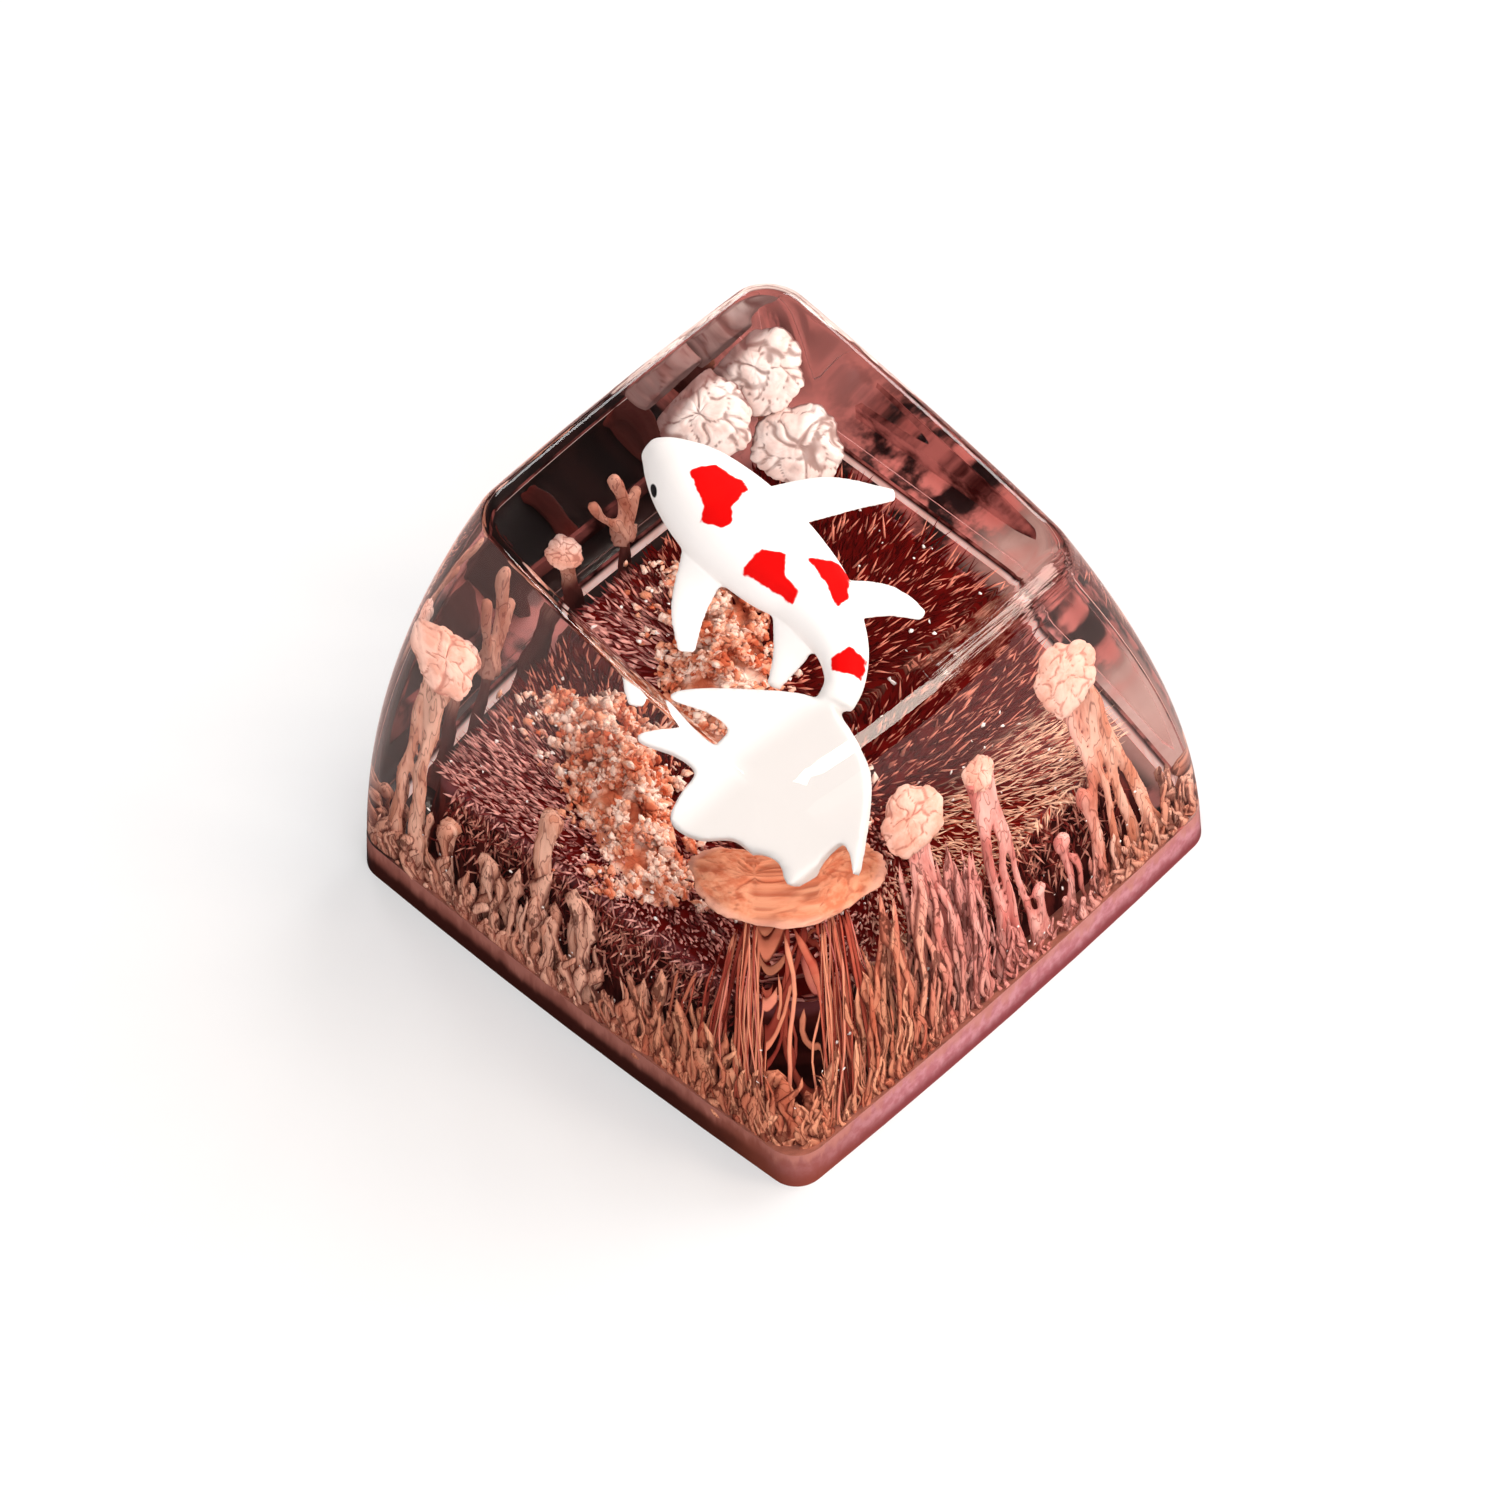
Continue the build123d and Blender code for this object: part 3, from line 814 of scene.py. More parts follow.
# %% Stalks
def plume_spot(side, along, height):
    """Points on a plume's axis, as the CAD model places them."""
    normal = np.array(NORMALS[side], float)
    run = np.array(RUNS[side], float)
    level = height / CAP_HEIGHT
    for _ in range(PASSES):
        half = wall_half(level) - PLUME_INSET
        flat = (normal + run * along)[None] * np.atleast_1d(half)[:, None]
        level = (height - flat[:, 1] * np.sin(TOP_TILT * level)) / CAP_HEIGHT
    return stand(flat[:, 0], flat[:, 1], 0 * flat[:, 0], level)


def swaying(axis, seed):
    """An axis with its straight points moved aside by noise, least at the foot."""
    for spot in axis:
        free = STALK_SWAY * min(1.0, max(0.0, spot[2] - RIM_HEIGHT) / 2 + 0.2)
        spot[0] += free * noise.noise(Vector((seed, spot[2] * 0.55, 1.3)))
        spot[1] += free * noise.noise(Vector((seed, spot[2] * 0.55, 7.9)))
    return axis


def plume_stalk(name, axis, neck, head, seed):
    """Fluted stalk along an axis of points, with a flared foot, and a round head if it has a radius."""
    rows = len(axis) - 1
    share = np.linspace(0, 1, rows + 1)
    radius = neck * np.interp(share, np.linspace(0, 1, len(STALK_SHAPE)), STALK_SHAPE)
    if head:
        ball = np.clip(1 - ((share - 0.9) / 0.1)**2, 0, 1)**0.5
        radius = np.maximum(radius * np.clip((1 - share) / 0.04, 0, 1)**0.5, head * ball)

    def place(u, v):
        row = np.rint(v * rows).astype(int)
        turn = u * 2 * math.pi
        cos, sin = np.cos(turn), np.sin(turn)
        rough = np.array([noise.noise(Vector((c * 2.2 + seed, s * 2.2, axis[r, 2] * 0.9)))
                          + 0.6 * noise.noise(Vector((c * 5 + seed, s * 5, axis[r, 2] * 1.3)))
                          for c, s, r in zip(cos, sin, row)])
        wide = radius[row] * (1 + FLUTE_DEPTH * rough)
        return axis[row] + np.stack([cos * wide, sin * wide, 0 * wide], -1)

    return wrapped_grid(name, STALK_SIDES, rows, place)


def bundle(name, side, axis, neck, count, seed):
    """Stalks that run side by side under a cap and part towards their feet."""
    run = np.array([*RUNS[side], 0.0])
    share = np.linspace(1, 0, len(axis))[:, None]
    stalks = []
    for j in range(count):
        offset = j - (count - 1) / 2
        spread = offset * (neck * 0.9 + 0.55 * share**2.5)
        thin_neck = neck * (0.45 + 0.12 * math.sin(5 * j + seed)) if count > 1 else neck
        stalks.append(plume_stalk(name, swaying(axis + run * spread, seed + 5.1 * j), thin_neck, 0, seed + j))
    return stalks


# %% [markdown]
# The caps look like small blossoms seen from above: a disc with a wavy rim and cracks between its petals.
# The cracks follow the borders of a cell pattern. Each point of a cap also keeps how deep in a crack it
# lies, so that its finish can darken the cracks.

# %% Blossom caps
CAP_GRID = (88, 40)


def cleft(flat, seed, grain):
    """0 in a crack of a cap, 1 on a petal, at places from -1 to 1 on its disc."""
    spot = Vector((flat[0], flat[1], seed))
    bent = spot + 0.22 * Vector((noise.noise(spot * 2.1), noise.noise(spot * 2.1 + Vector((5, 0, 0))), 0))
    wide = noise.voronoi(bent * 2.0 * grain)[0]
    fine = noise.voronoi(bent * 4.6 * grain)[0]
    return min(1.0, (wide[1] - wide[0]) / 0.16, 0.45 + (fine[1] - fine[0]) / 0.3)


def inside_walls(spots, margin):
    """Spots pushed back where they come nearer to a wall than a margin."""
    level = spots[:, 2] / CAP_HEIGHT
    for _ in range(PASSES):
        level = (spots[:, 2] - spots[:, 1] * np.sin(TOP_TILT * level)) / CAP_HEIGHT
    half = wall_half(level) - margin
    return np.column_stack([spots[:, 0].clip(-half, half), spots[:, 1].clip(-half, half), spots[:, 2]])


def blossom_cap(name, centre, facing, reach, seed, thick=0.3, grain=1.0):
    """Flat lobed disc that faces a direction, with cracks between its petals."""
    facing = unit(np.array(facing, float))
    side = unit(np.cross(facing, (0.3, 0.2, 1.0)))
    top = np.cross(side, facing)

    def outline(turn):
        lobes = 0.04 * np.sin(5 * turn + seed) + 0.05 * np.sin(3 * turn + 2 * seed)
        lobes = lobes + 0.025 * np.sin(9 * turn + seed)
        return 0.96 + lobes

    def place(u, v):
        turn = u * 2 * math.pi
        out = np.sin(v * math.pi)
        flat = np.stack([out * np.cos(turn), out * np.sin(turn)], -1)
        petal = np.array([cleft(f, seed, grain) for f in flat])
        wide = outline(turn) * (1 - 0.05 * (1 - petal) * out)
        high = thick * np.cos(v * math.pi) * (0.8 + 0.2 * petal) - 0.08 * out**2
        spread = side * (flat[:, :1] * wide[:, None]) + top * (flat[:, 1:] * wide[:, None])
        return inside_walls(centre + reach * (spread + facing * high[:, None]), CAP_MARGIN)

    cap = wrapped_grid(name, *CAP_GRID, place)
    gap = points_of(cap) / MM - centre
    plan = np.stack([gap @ side, gap @ top], -1) / reach
    plan /= outline(np.arctan2(plan[:, 1], plan[:, 0]))[:, None]
    keep(cap, "crack", np.array([1 - cleft(p, seed, grain) for p in plan]))
    return cap


# %% [markdown]
# Now the plumes are put together from the table. The stalks are melted into one skin. The caps keep their
# own meshes, because a remesh would round off their cracks and lose the numbers that their points keep.

# %% Plumes
def plumes():
    stalks, caps = [], []
    for i, (name, (side, along, height, head, neck, count)) in enumerate(PLUMES.items()):
        top = height - (0.25 * head if count else 0)
        axis = plume_spot(side, along, np.linspace(RIM_HEIGHT - TONGUE_ROOT, top, AXIS_POINTS))
        if count:
            stalks += bundle(name, side, axis, neck, count, 3.7 * i)
            facing = (NORMALS[side][0] * 0.2 - 0.35, NORMALS[side][1] * 0.2 - 0.35, 0.85)
            caps.append(blossom_cap(name + "_cap", axis[-1] + (0, 0, 0.15 * head), facing, head, 1.9 * i))
        else:
            stalks.append(plume_stalk(name, swaying(axis, 3.7 * i), neck, head, 3.7 * i))
    for i, (points, neck) in enumerate(TENDRILS):
        axis = swaying(through(points, 40), 2.9 * i)
        stalks.append(plume_stalk("tendril", axis, neck, 1.25 * neck, 2.9 * i))
    mushroom = blossom_cap("mushroom", np.array(MUSHROOM), (-0.2, -0.3, 1.0), reach=0.62, seed=8.0, thick=0.5)
    caps.append(mushroom)
    rise = np.linspace(PLATEAU_HEIGHT - 0.3, PLATEAU_HEIGHT + PLATEAU_BLOSSOM_RISE, 24)
    axis = np.stack([PLATEAU_BLOSSOM[0] + 0 * rise, PLATEAU_BLOSSOM[1] + 0 * rise, rise], -1)
    stalks.append(plume_stalk("plateau_stalk", axis, neck=0.25, head=0, seed=0.0))
    top = axis[-1] + (0, 0, 0.2)
    caps.append(blossom_cap("plateau_cap", top, (-0.3, -0.3, 0.9), reach=1.5, seed=4.0))
    return melted(stalks, "plume_stalks", *STALK_MELT), joined(caps, "blossom_caps")


stalk_piece, cap_piece = plumes()
for piece in (stalk_piece, cap_piece):
    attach(piece, "root")
    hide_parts("pigment_plumes")
print("plumes:", len(stalk_piece.data.polygons), "and", len(cap_piece.data.polygons), "faces")

# %% [markdown]
# The umbrella over the curtain is made like a cap, only wider and thinner, with finer cracks.

# %% Orange veil
VEIL_FACING = (0.12, 0.12, 1.0)
VEIL_DROP = (0, 0, 0.3)

veil_piece = blossom_cap("orange_veil", VEIL_CENTRE - VEIL_DROP, VEIL_FACING,
                         reach=2.15, seed=6.0, thick=0.14, grain=1.9)
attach(veil_piece, "root")
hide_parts("curtain_veil")
print("veil:", len(veil_piece.data.polygons), "faces")

# %% [markdown]
# ## Fur on the base
# The flat top of the dark base is covered with a fur of fine needles that point away from the heap in its
# middle, and shorter hair hangs over its near shoulders. A hair system would need its own conversion to
# mesh, so the fur is one tiny stalk, copied many times.

# %% Fur
FUR_MIDDLE = np.array([-1.0, 0.6])
FUR_HALF = 6.25
FUR_COUNT = 7800
HAIR_COUNT = 2200
HAIR_FALL = 2.6             # how far down the shoulder the lowest hair grows
NEEDLE_SHAPE = ([0, 0.5, 1], [0.8, 1.0, 0.0])  # share of the length, and radius in shares of the width


def needles(name, foot, ahead, length, width):
    """Copies of a thin pointed stalk along directions."""
    side = unit(np.cross(ahead, (0.01, 0.02, 1.0)))
    up = np.cross(side, ahead)

    def spots_of(x, y, t):
        profile = np.interp(t, *NEEDLE_SHAPE)
        along = ahead[:, None] * (length[:, None] * t)[..., None]
        across = side[:, None] * (width[:, None] * profile * x)[..., None]
        return foot[:, None] + along + across + up[:, None] * (width[:, None] * profile * y)[..., None]

    return repeated(name, unit_stalk(4, 2), spots_of)


def fur():
    spot = rng.uniform(-FUR_HALF, FUR_HALF, (FUR_COUNT, 2))
    away = spot - FUR_MIDDLE
    turn = np.arctan2(away[:, 1], away[:, 0]) + rng.normal(0, 0.25, FUR_COUNT)
    near_right = np.interp(spot[:, 0] - spot[:, 1], [0, 4], [0.0, 1.0])
    tilt = np.radians(rng.uniform(10, 45, FUR_COUNT) * (1 - 0.5 * near_right))
    ahead = np.stack([np.cos(turn) * np.cos(tilt), np.sin(turn) * np.cos(tilt), np.sin(tilt)], -1)
    length = rng.uniform(0.25, 0.65, FUR_COUNT) * (1 + near_right * rng.uniform(0, 1.1, FUR_COUNT))
    width = rng.uniform(0.032, 0.06, FUR_COUNT) * (1 - 0.35 * near_right)
    foot = np.column_stack([spot, np.full(FUR_COUNT, PLATEAU_HEIGHT - 0.04)])
    return needles("base_fur", foot, ahead, length, width)


def shoulder_hair():
    """Hair that hangs over the base's shoulder behind the two near walls."""
    height = PLATEAU_HEIGHT - HAIR_FALL * rng.random(HAIR_COUNT)**1.6
    half = CORE_HALF - CORE_LEAN * height / PLATEAU_HEIGHT
    along = rng.uniform(-1, 1, HAIR_COUNT) * (half - 0.8)
    on_left = rng.random(HAIR_COUNT) < 0.5
    foot = np.column_stack([np.where(on_left, -half, along), np.where(on_left, along, -half), height])
    spread = rng.normal(0, 0.35, HAIR_COUNT)
    out = rng.uniform(0.15, 0.7, HAIR_COUNT)
    fall = rng.uniform(-1.0, 0.3, HAIR_COUNT)
    ahead = unit(np.column_stack([np.where(on_left, -out, spread), np.where(on_left, spread, -out), fall]))
    length = rng.uniform(0.3, 0.9, HAIR_COUNT)
    return needles("shoulder_hair", foot, ahead, length, rng.uniform(0.03, 0.055, HAIR_COUNT))


fur_piece = joined([fur(), shoulder_hair()], "base_fur")
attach(fur_piece, "root")
print("fur:", len(fur_piece.data.polygons), "faces")

# %% [markdown]
# ## Crumbs
# The heap is made of crumbs that lie along a ridge from the back to the near left of the base, in clumps
# with gaps between them. A lumpy ball is copied for them, squashed and turned each time, over a low closed
# lump that fills the gaps. Tiny bright grains are strewn over the base and the rim as well.

# %% The ridge
RIDGE = (np.array([0.9, 4.4]), np.array([-5.3, -1.8]))
RIDGE_RUN = RIDGE[1] - RIDGE[0]
RIDGE_ACROSS = np.array([-RIDGE_RUN[1], RIDGE_RUN[0]]) / np.linalg.norm(RIDGE_RUN)
RIDGE_HALF = 1.15
RIDGE_HEIGHT = 1.15
# share along the ridge, and share of its height there
RIDGE_CREST = ([-0.05, 0.15, 0.45, 0.75, 1.05], [0.1, 0.5, 1.0, 0.5, 0.1])
LUMP_HALF = 1.5
LUMP_TONE = 0.45
LUMP_FOOT = 0.8             # share of the lump's rows that make its upper side


def ridge_height(x, y):
    """Height of the ridge over the flat top."""
    away = (x - RIDGE[0][0], y - RIDGE[0][1])
    share = (away[0] * RIDGE_RUN[0] + away[1] * RIDGE_RUN[1]) / (RIDGE_RUN @ RIDGE_RUN)
    aside = (RIDGE_RUN[0] * away[1] - RIDGE_RUN[1] * away[0]) / np.linalg.norm(RIDGE_RUN)
    crest = np.interp(share, *RIDGE_CREST)
    return RIDGE_HEIGHT * crest * np.exp(-(aside / RIDGE_HALF)**2)


def ridge():
    """Closed lump under the crumbs."""
    middle = (RIDGE[0] + RIDGE[1]) / 2
    run = RIDGE_RUN / 2
    across = RIDGE_ACROSS * LUMP_HALF

    def place(u, v):
        turn = u * 2 * math.pi
        out = np.where(v > LUMP_FOOT, (1 - v) / (1 - LUMP_FOOT), np.clip(v / LUMP_FOOT, 0, 1))
        flat = middle + run * (out * np.cos(turn))[:, None] + across * (out * np.sin(turn))[:, None]
        lumps = np.array([noise.noise(Vector((x * 2, y * 2, 0.2))) for x, y in flat])
        top = PLATEAU_HEIGHT - 0.05 + ridge_height(*flat.T) * (0.7 + 0.4 * lumps)
        return np.column_stack([flat, np.where(v > LUMP_FOOT, PLATEAU_HEIGHT - 0.1, top)])

    lump = wrapped_grid("ridge", 90, 50, place)
    keep(lump, "tone", np.full(len(lump.data.vertices), LUMP_TONE))
    return lump


# %% [markdown]
# A crumb is a coarse ball whose points are moved in and out by noise. A sculpted crumb would need far more
# points and look no different at this size.

# %% Crumbs and grains
CRUMB_COUNT = 3100
GRAIN_COUNT = 220


def crumb_model():
    """Lumpy ball of unit radius."""
    bpy.ops.object.select_all(action="DESELECT")
    bpy.ops.mesh.primitive_uv_sphere_add(segments=7, ring_count=5, radius=MM)
    model = bpy.context.object
    for vertex in model.data.vertices:
        vertex.co *= 1 + 0.85 * noise.noise(vertex.co / MM * 1.7)
    return model


def crumb_copies(name, spot, size):
    """Copies of the lumpy ball, each squashed and turned its own way."""
    count = len(spot)
    squash = rng.uniform(0.35, 1.75, (count, 3))
    twist = rng.uniform(0, 2 * math.pi, (count, 2))

    def spots_of(a, b, c):
        shape = np.stack([a, b, c], -1)[None] * (squash * size[:, None])[:, None]
        cos, sin = np.cos(twist[:, :1]), np.sin(twist[:, :1])
        px = shape[..., 0] * cos - shape[..., 2] * sin
        pz = shape[..., 0] * sin + shape[..., 2] * cos
        cos, sin = np.cos(twist[:, 1:]), np.sin(twist[:, 1:])
        turned = np.stack([px * cos - shape[..., 1] * sin, px * sin + shape[..., 1] * cos, pz], -1)
        return turned + spot[:, None]

    return repeated(name, crumb_model(), spots_of)


def crumbs():
    """Crumbs along the ridge, where a noise leaves room for clumps."""
    drawn = 4 * CRUMB_COUNT  # more than are kept, because the noise leaves many out
    share = rng.uniform(-0.05, 1.0, drawn)
    aside = rng.normal(0, 0.85 * RIDGE_HALF, drawn)
    flat = RIDGE[0] + RIDGE_RUN * share[:, None] + RIDGE_ACROSS * aside[:, None]
    clump = np.array([noise.noise(Vector((x * 1.5, y * 1.5, 0.7))) for x, y in flat])
    flat = flat[clump > -0.08][:CRUMB_COUNT]
    count = len(flat)
    size = rng.uniform(0.04, 0.12, count)
    height = ridge_height(*flat.T) * rng.uniform(0.7, 1.6, count) + size * rng.uniform(0.2, 1.5, count)
    return crumb_copies("crumbs", np.column_stack([flat, PLATEAU_HEIGHT + height]), size)


def grains():
    """Tiny bright grains on the base and behind the near walls."""
    half = GRAIN_COUNT // 2
    flat = rng.uniform(-FUR_HALF, FUR_HALF, (half, 2))
    low = np.column_stack([flat, PLATEAU_HEIGHT + 0.1 + rng.uniform(0, 0.5, half)])
    run = rng.uniform(-16, 16, half)
    height = RIM_HEIGHT + 0.2 + 3.0 * rng.random(half)**2
    wall = behind_wall(run, height, rng.uniform(0.5, 1.2, half))
    return crumb_copies("white_grains", np.concatenate([low, wall]), rng.uniform(0.02, 0.05, 2 * half))


crumb_piece = joined([crumbs(), ridge()], "heap_crumbs")
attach(crumb_piece, "root")
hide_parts("pigment_mound")
grain_piece = grains()
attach(grain_piece, "root")
print("crumbs:", len(crumb_piece.data.polygons), "faces, grains:", len(grain_piece.data.polygons))

# %% [markdown]
# ## A pale lip on the rim
# Along the back and right walls the pigment crept up a little and left a pale lip. Through the top it shows
# as a bright line. A painted line on the rim would lie too low, so it is two thin strips that stand on it.

# %% Lip strips
LIP_RUNS = ((19.5, 34.0), (38.0, 52.5))
LIP_RISE = 0.85
LIP_DEPTHS = (0.72, 0.62)
LIP_STEPS = 80


def lip_strip(start, end):
    """Closed strip that stands on the rim behind a wall."""
    def place(u, v):
        run = start + (end - start) * v
        side = np.rint(u * 4) % 4
        inset = np.where((side == 0) | (side == 3), LIP_DEPTHS[0], LIP_DEPTHS[1])
        height = np.where(side < 2, RIM_HEIGHT - 0.05, RIM_HEIGHT + LIP_RISE)
        return behind_wall(run, height, inset)

    return wrapped_grid("pale_lip", 4, LIP_STEPS, place, smooth_angle=40.0)


lip_piece = joined([lip_strip(*ends) for ends in LIP_RUNS], "pale_lip")
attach(lip_piece, "root")
print("lip:", len(lip_piece.data.polygons), "faces")

# %% [markdown]
# ## Dark base and rim
# The base is smooth maroon resin, streaked on its sides. Its solid is right as it is, so it only gets a
# finish: a cloudy red top, darker sides, and a painted highlight, a pale line along the shoulder.

# %% Dark base
def dark_resin():
    finish = Finish("dark_resin")
    z = finish.parts(finish.place())[2]
    cloud = finish.noise(finish.place(), 0.6)
    streak = finish.noise(finish.place((3.0, 3.0, 0.35)), 1.0)
    top = finish.blend(cloud, srgb(48, 3, 2), srgb(122, 14, 10))
    side = finish.blend(finish.smooth(streak, 0.4, 0.7), srgb(50, 12, 10), srgb(104, 40, 34))
    colour = finish.blend(finish.smooth(z, 4.7, 5.0), side, top)
    # painted highlight: a pale line along the shoulder, where it catches the light
    shoulder = finish.smooth(z, 4.4, 4.7) * finish.smooth(z, 5.03, 4.9)
    return finish.matt(finish.blend(shoulder * 0.6, colour, srgb(140, 80, 84)), 0.35)


wear(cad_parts["stem_base"], dark_resin())

# %% [markdown]
# The rim is pigment that settled: mauve pink in front, browner on the left and orange at the near corner,
# with a dark lower edge. Seen from above its top is dark and blotched, and pale at the right end. By the
# back wall it is painted almost black, as shade, where the dark base keeps the light off. Two cuts of the
# solid could carry two materials, but one finish that changes with height needs no seam. The outer side is
# glossy. The top has no gloss, because there the resin lies on it.

# %% Rim
def rim_outside(finish, spot, grain):
    """Outer side of the rim, with pale flames at its upper edge."""
    x, y, z = finish.parts(spot)
    bloom = finish.blend(finish.blots(spot, 3.2, 3.0), srgb(192, 116, 124), srgb(216, 150, 158))
    front = finish.blend(finish.smooth(z + grain * 0.4, 0.35, 0.95), srgb(142, 66, 70), bloom)
    left = finish.blend(finish.smooth(z + grain * 0.5, 0.75, 1.2), srgb(58, 20, 14), srgb(146, 84, 73))
    on_left = finish.smooth(y - x, -1.0, 2.0)
    colour = finish.blend(on_left, front, left)
    near = finish.smooth(x + y + finish.noise(spot, 0.55, 4.0) * 3.0, -11.5, -16.5)
    colour = finish.blend(near * 0.7, colour, srgb(142, 70, 52))
    flame = finish.smooth(grain + z * 0.55, 0.95, 1.2)
    return finish.blend(flame * (0.7 - on_left * 0.3), colour, srgb(206, 136, 122))


def rim_top(finish, spot, grain):
    """Top of the rim, under the resin."""
    x, y = finish.parts(spot)[:2]
    blotch = finish.noise(spot, 0.9, 4.0)
    far = finish.blend(finish.smooth(blotch, 0.42, 0.6), srgb(20, 1, 1), srgb(192, 108, 100))
    # painted shade: the top by the back wall is painted almost black, where the dark base keeps the light off
    back_shade = finish.smooth(y, 7.0, 7.6) * finish.smooth(x, 5.5, 3.0)
    far = finish.blend(back_shade * 0.97, far, srgb(8, 0, 0))
    far_corner = finish.smooth(x + y, 14.6, 16.4)
    far = finish.blend(far_corner * 0.7, far, srgb(164, 96, 90))
    right_end = finish.smooth(y + blotch * 3.0, 3.4, 0.8) * finish.smooth(x, 7.6, 8.2)
    far = finish.blend(right_end, far, finish.blend(blotch, srgb(206, 168, 158), srgb(150, 100, 92)))
    near = finish.blend(grain, srgb(190, 120, 100), srgb(90, 40, 34))
    return finish.blend(finish.smooth(finish.larger(x, y), 6.6, 7.4), near, far)


def rim_pigment():
    finish = Finish("rim_pigment")
    spot = finish.place()
    grain = finish.noise(finish.place((2.6, 2.6, 0.6)), 1.0, 4.0)
    cast_over = finish.smooth(finish.parts(spot)[2], 1.38, 1.395)
    colour = finish.blend(cast_over, rim_outside(finish, spot, grain), rim_top(finish, spot, grain))
    gloss = {"Coat Weight": 0.6 - cast_over * 0.6, "Coat Roughness": 0.03}
    return finish.output(finish.principled(colour, 0.3, 0.3, gloss))


wear(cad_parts["pigment_rim"], rim_pigment())

# %% [markdown]
# ## Pigment finishes
# Dried pigment is matt salmon with fine dark cracks that run up the stalks. It turns pink in the middle of
# the front wall and orange at the near corner, and the feet at the back lie in the dark. One finish blends
# these by place. Veins are contour lines of a stretched noise, because a plain noise has no thin lines.

# %% Stalks and tongues
def veins(finish, stretch, count, width):
    """Thin dark lines, as the contour lines of a stretched noise."""
    field = finish.noise(finish.place(stretch), 1.0, 2.0) * count
    swing = finish.node("ShaderNodeMath", {"operation": "PINGPONG"}, {0: field, 1: 0.5})
    return finish.smooth(swing, width, 0.0)


def plume_pigment(name, copies):
    """Salmon to pink and orange by place. Copies have a tone of their own, painted side shade and dark holes.
    """
    finish = Finish(name)
    spot = finish.place()
    x, y, z = finish.parts(spot)
    streak = finish.blots(finish.place((2.2, 2.2, 0.5)), 1.0, 4.0)
    tone = finish.kept("tone") * 0.7 + streak * 0.3 if copies else streak
    colour = finish.blend(tone, srgb(242, 184, 160), srgb(204, 126, 98))
    left = finish.smooth(y - x, 3.0, 9.0)
    colour = finish.blend(left * 0.6, colour, finish.blend(tone, srgb(236, 182, 158), srgb(196, 132, 108)))
    pink = finish.smooth(x, -5.5, -2.5) * finish.smooth(x, 5.5, 3.0) * finish.smooth(y, -4.0, -6.0)
    colour = finish.blend(pink * 0.75, colour, finish.blend(tone, srgb(246, 178, 170), srgb(212, 118, 114)))
    corner = finish.smooth(x + y, -9.0, -12.5)
    colour = finish.blend(corner * 0.75, colour, finish.blend(tone, srgb(238, 164, 124), srgb(184, 84, 58)))
    colour = finish.blend(veins(finish, (2.2, 2.2, 0.5), 7.0, 0.16) * 0.65, colour, srgb(124, 52, 40))
    if copies:
        # painted shade: each copy turns darker towards its sides
        sides = finish.smooth(finish.kept("aside"), 0.45, 0.95)
        colour = finish.blend(sides * 0.75, colour, srgb(100, 36, 28))
        holes = finish.blots(finish.place((1.5, 1.5, 0.8)), 1.8, 3.0, 0.56, 0.62)
        colour = finish.blend(holes * 0.75, colour, srgb(78, 28, 22))
    low = finish.smooth(z, 2.6, 1.5) * finish.blots(spot, 2.2, 3.0, 0.42, 0.62)
    colour = finish.blend(low * 0.4, colour, srgb(140, 64, 50))
    far = finish.smooth(finish.larger(x, y), 6.2, 7.0) * finish.smooth(x + y, 2.0, 5.0)
    shade = far * finish.smooth(z, 6.0, 4.4)
    colour = finish.blend(shade * 0.95, colour, srgb(70, 18, 16))
    return finish.matt(finish.blend(far * 0.3, colour, srgb(130, 70, 66)))


wear(stalk_piece, plume_pigment("plume_pigment", copies=False))
wear(tongue_piece, plume_pigment("tongue_pigment", copies=True))

# %% [markdown]
# The caps are peach in front and pale at the back. At the back they are painted brown as shade on what
# faces the back or the right and close to the back wall. The veil is orange with a pale rim. Both darken
# where a point lies in a crack, so the lines of paint and the grooves of the mesh agree.

# %% Caps and veil
def cap_pigment():
    finish = Finish("blossom_pigment")
    spot = finish.place()
    x, y = finish.parts(spot)[:2]
    tone = finish.blots(spot, 1.6, 4.0, 0.38, 0.62)
    back = finish.smooth(x + y, 4.0, 7.0)
    petals = finish.blend(back, finish.blend(tone, srgb(248, 196, 176), srgb(232, 166, 144)),
                          finish.blend(tone, srgb(250, 230, 222), srgb(238, 208, 198)))
    lines = finish.blend(back, srgb(172, 92, 74), srgb(118, 72, 62))
    colour = finish.blend(finish.smooth(finish.kept("crack"), 0.3, 0.9) * 0.7, petals, lines)
    # painted shade: at the back, faces turned to the back and the right, and points close to the back wall,
    # are painted brown
    to_right, to_back = finish.turned()[:2]
    turned_away_shade = finish.smooth(finish.larger(to_right, to_back), 0.3, 0.6)
    away = finish.larger(turned_away_shade, finish.smooth(y, 7.2, 7.7))
    return finish.matt(finish.blend(away * back * 0.85, colour, srgb(112, 62, 58)))


def veil_pigment():
    finish = Finish("veil_pigment")
    spot = finish.place()
    colour = finish.blend(finish.blots(spot, 2.6, 4.0, 0.3, 0.7), srgb(236, 164, 128), srgb(214, 122, 88))
    crack = finish.smooth(finish.kept("crack"), 0.3, 0.9)
    colour = finish.blend(crack * 0.45, colour, srgb(150, 58, 40))
    rim = finish.smooth(finish.distance(spot, VEIL_CENTRE), 1.75, 2.1)
    return finish.matt(finish.blend(rim * 0.6, colour, srgb(240, 184, 164)), 0.8)


wear(cap_piece, cap_pigment())
wear(veil_piece, veil_pigment())

# %% [markdown]
# Strands, needles and crumbs differ from one to the next as real dried pigment does. A noise would cross
# several of them, so the finish reads the tone that each copy keeps.

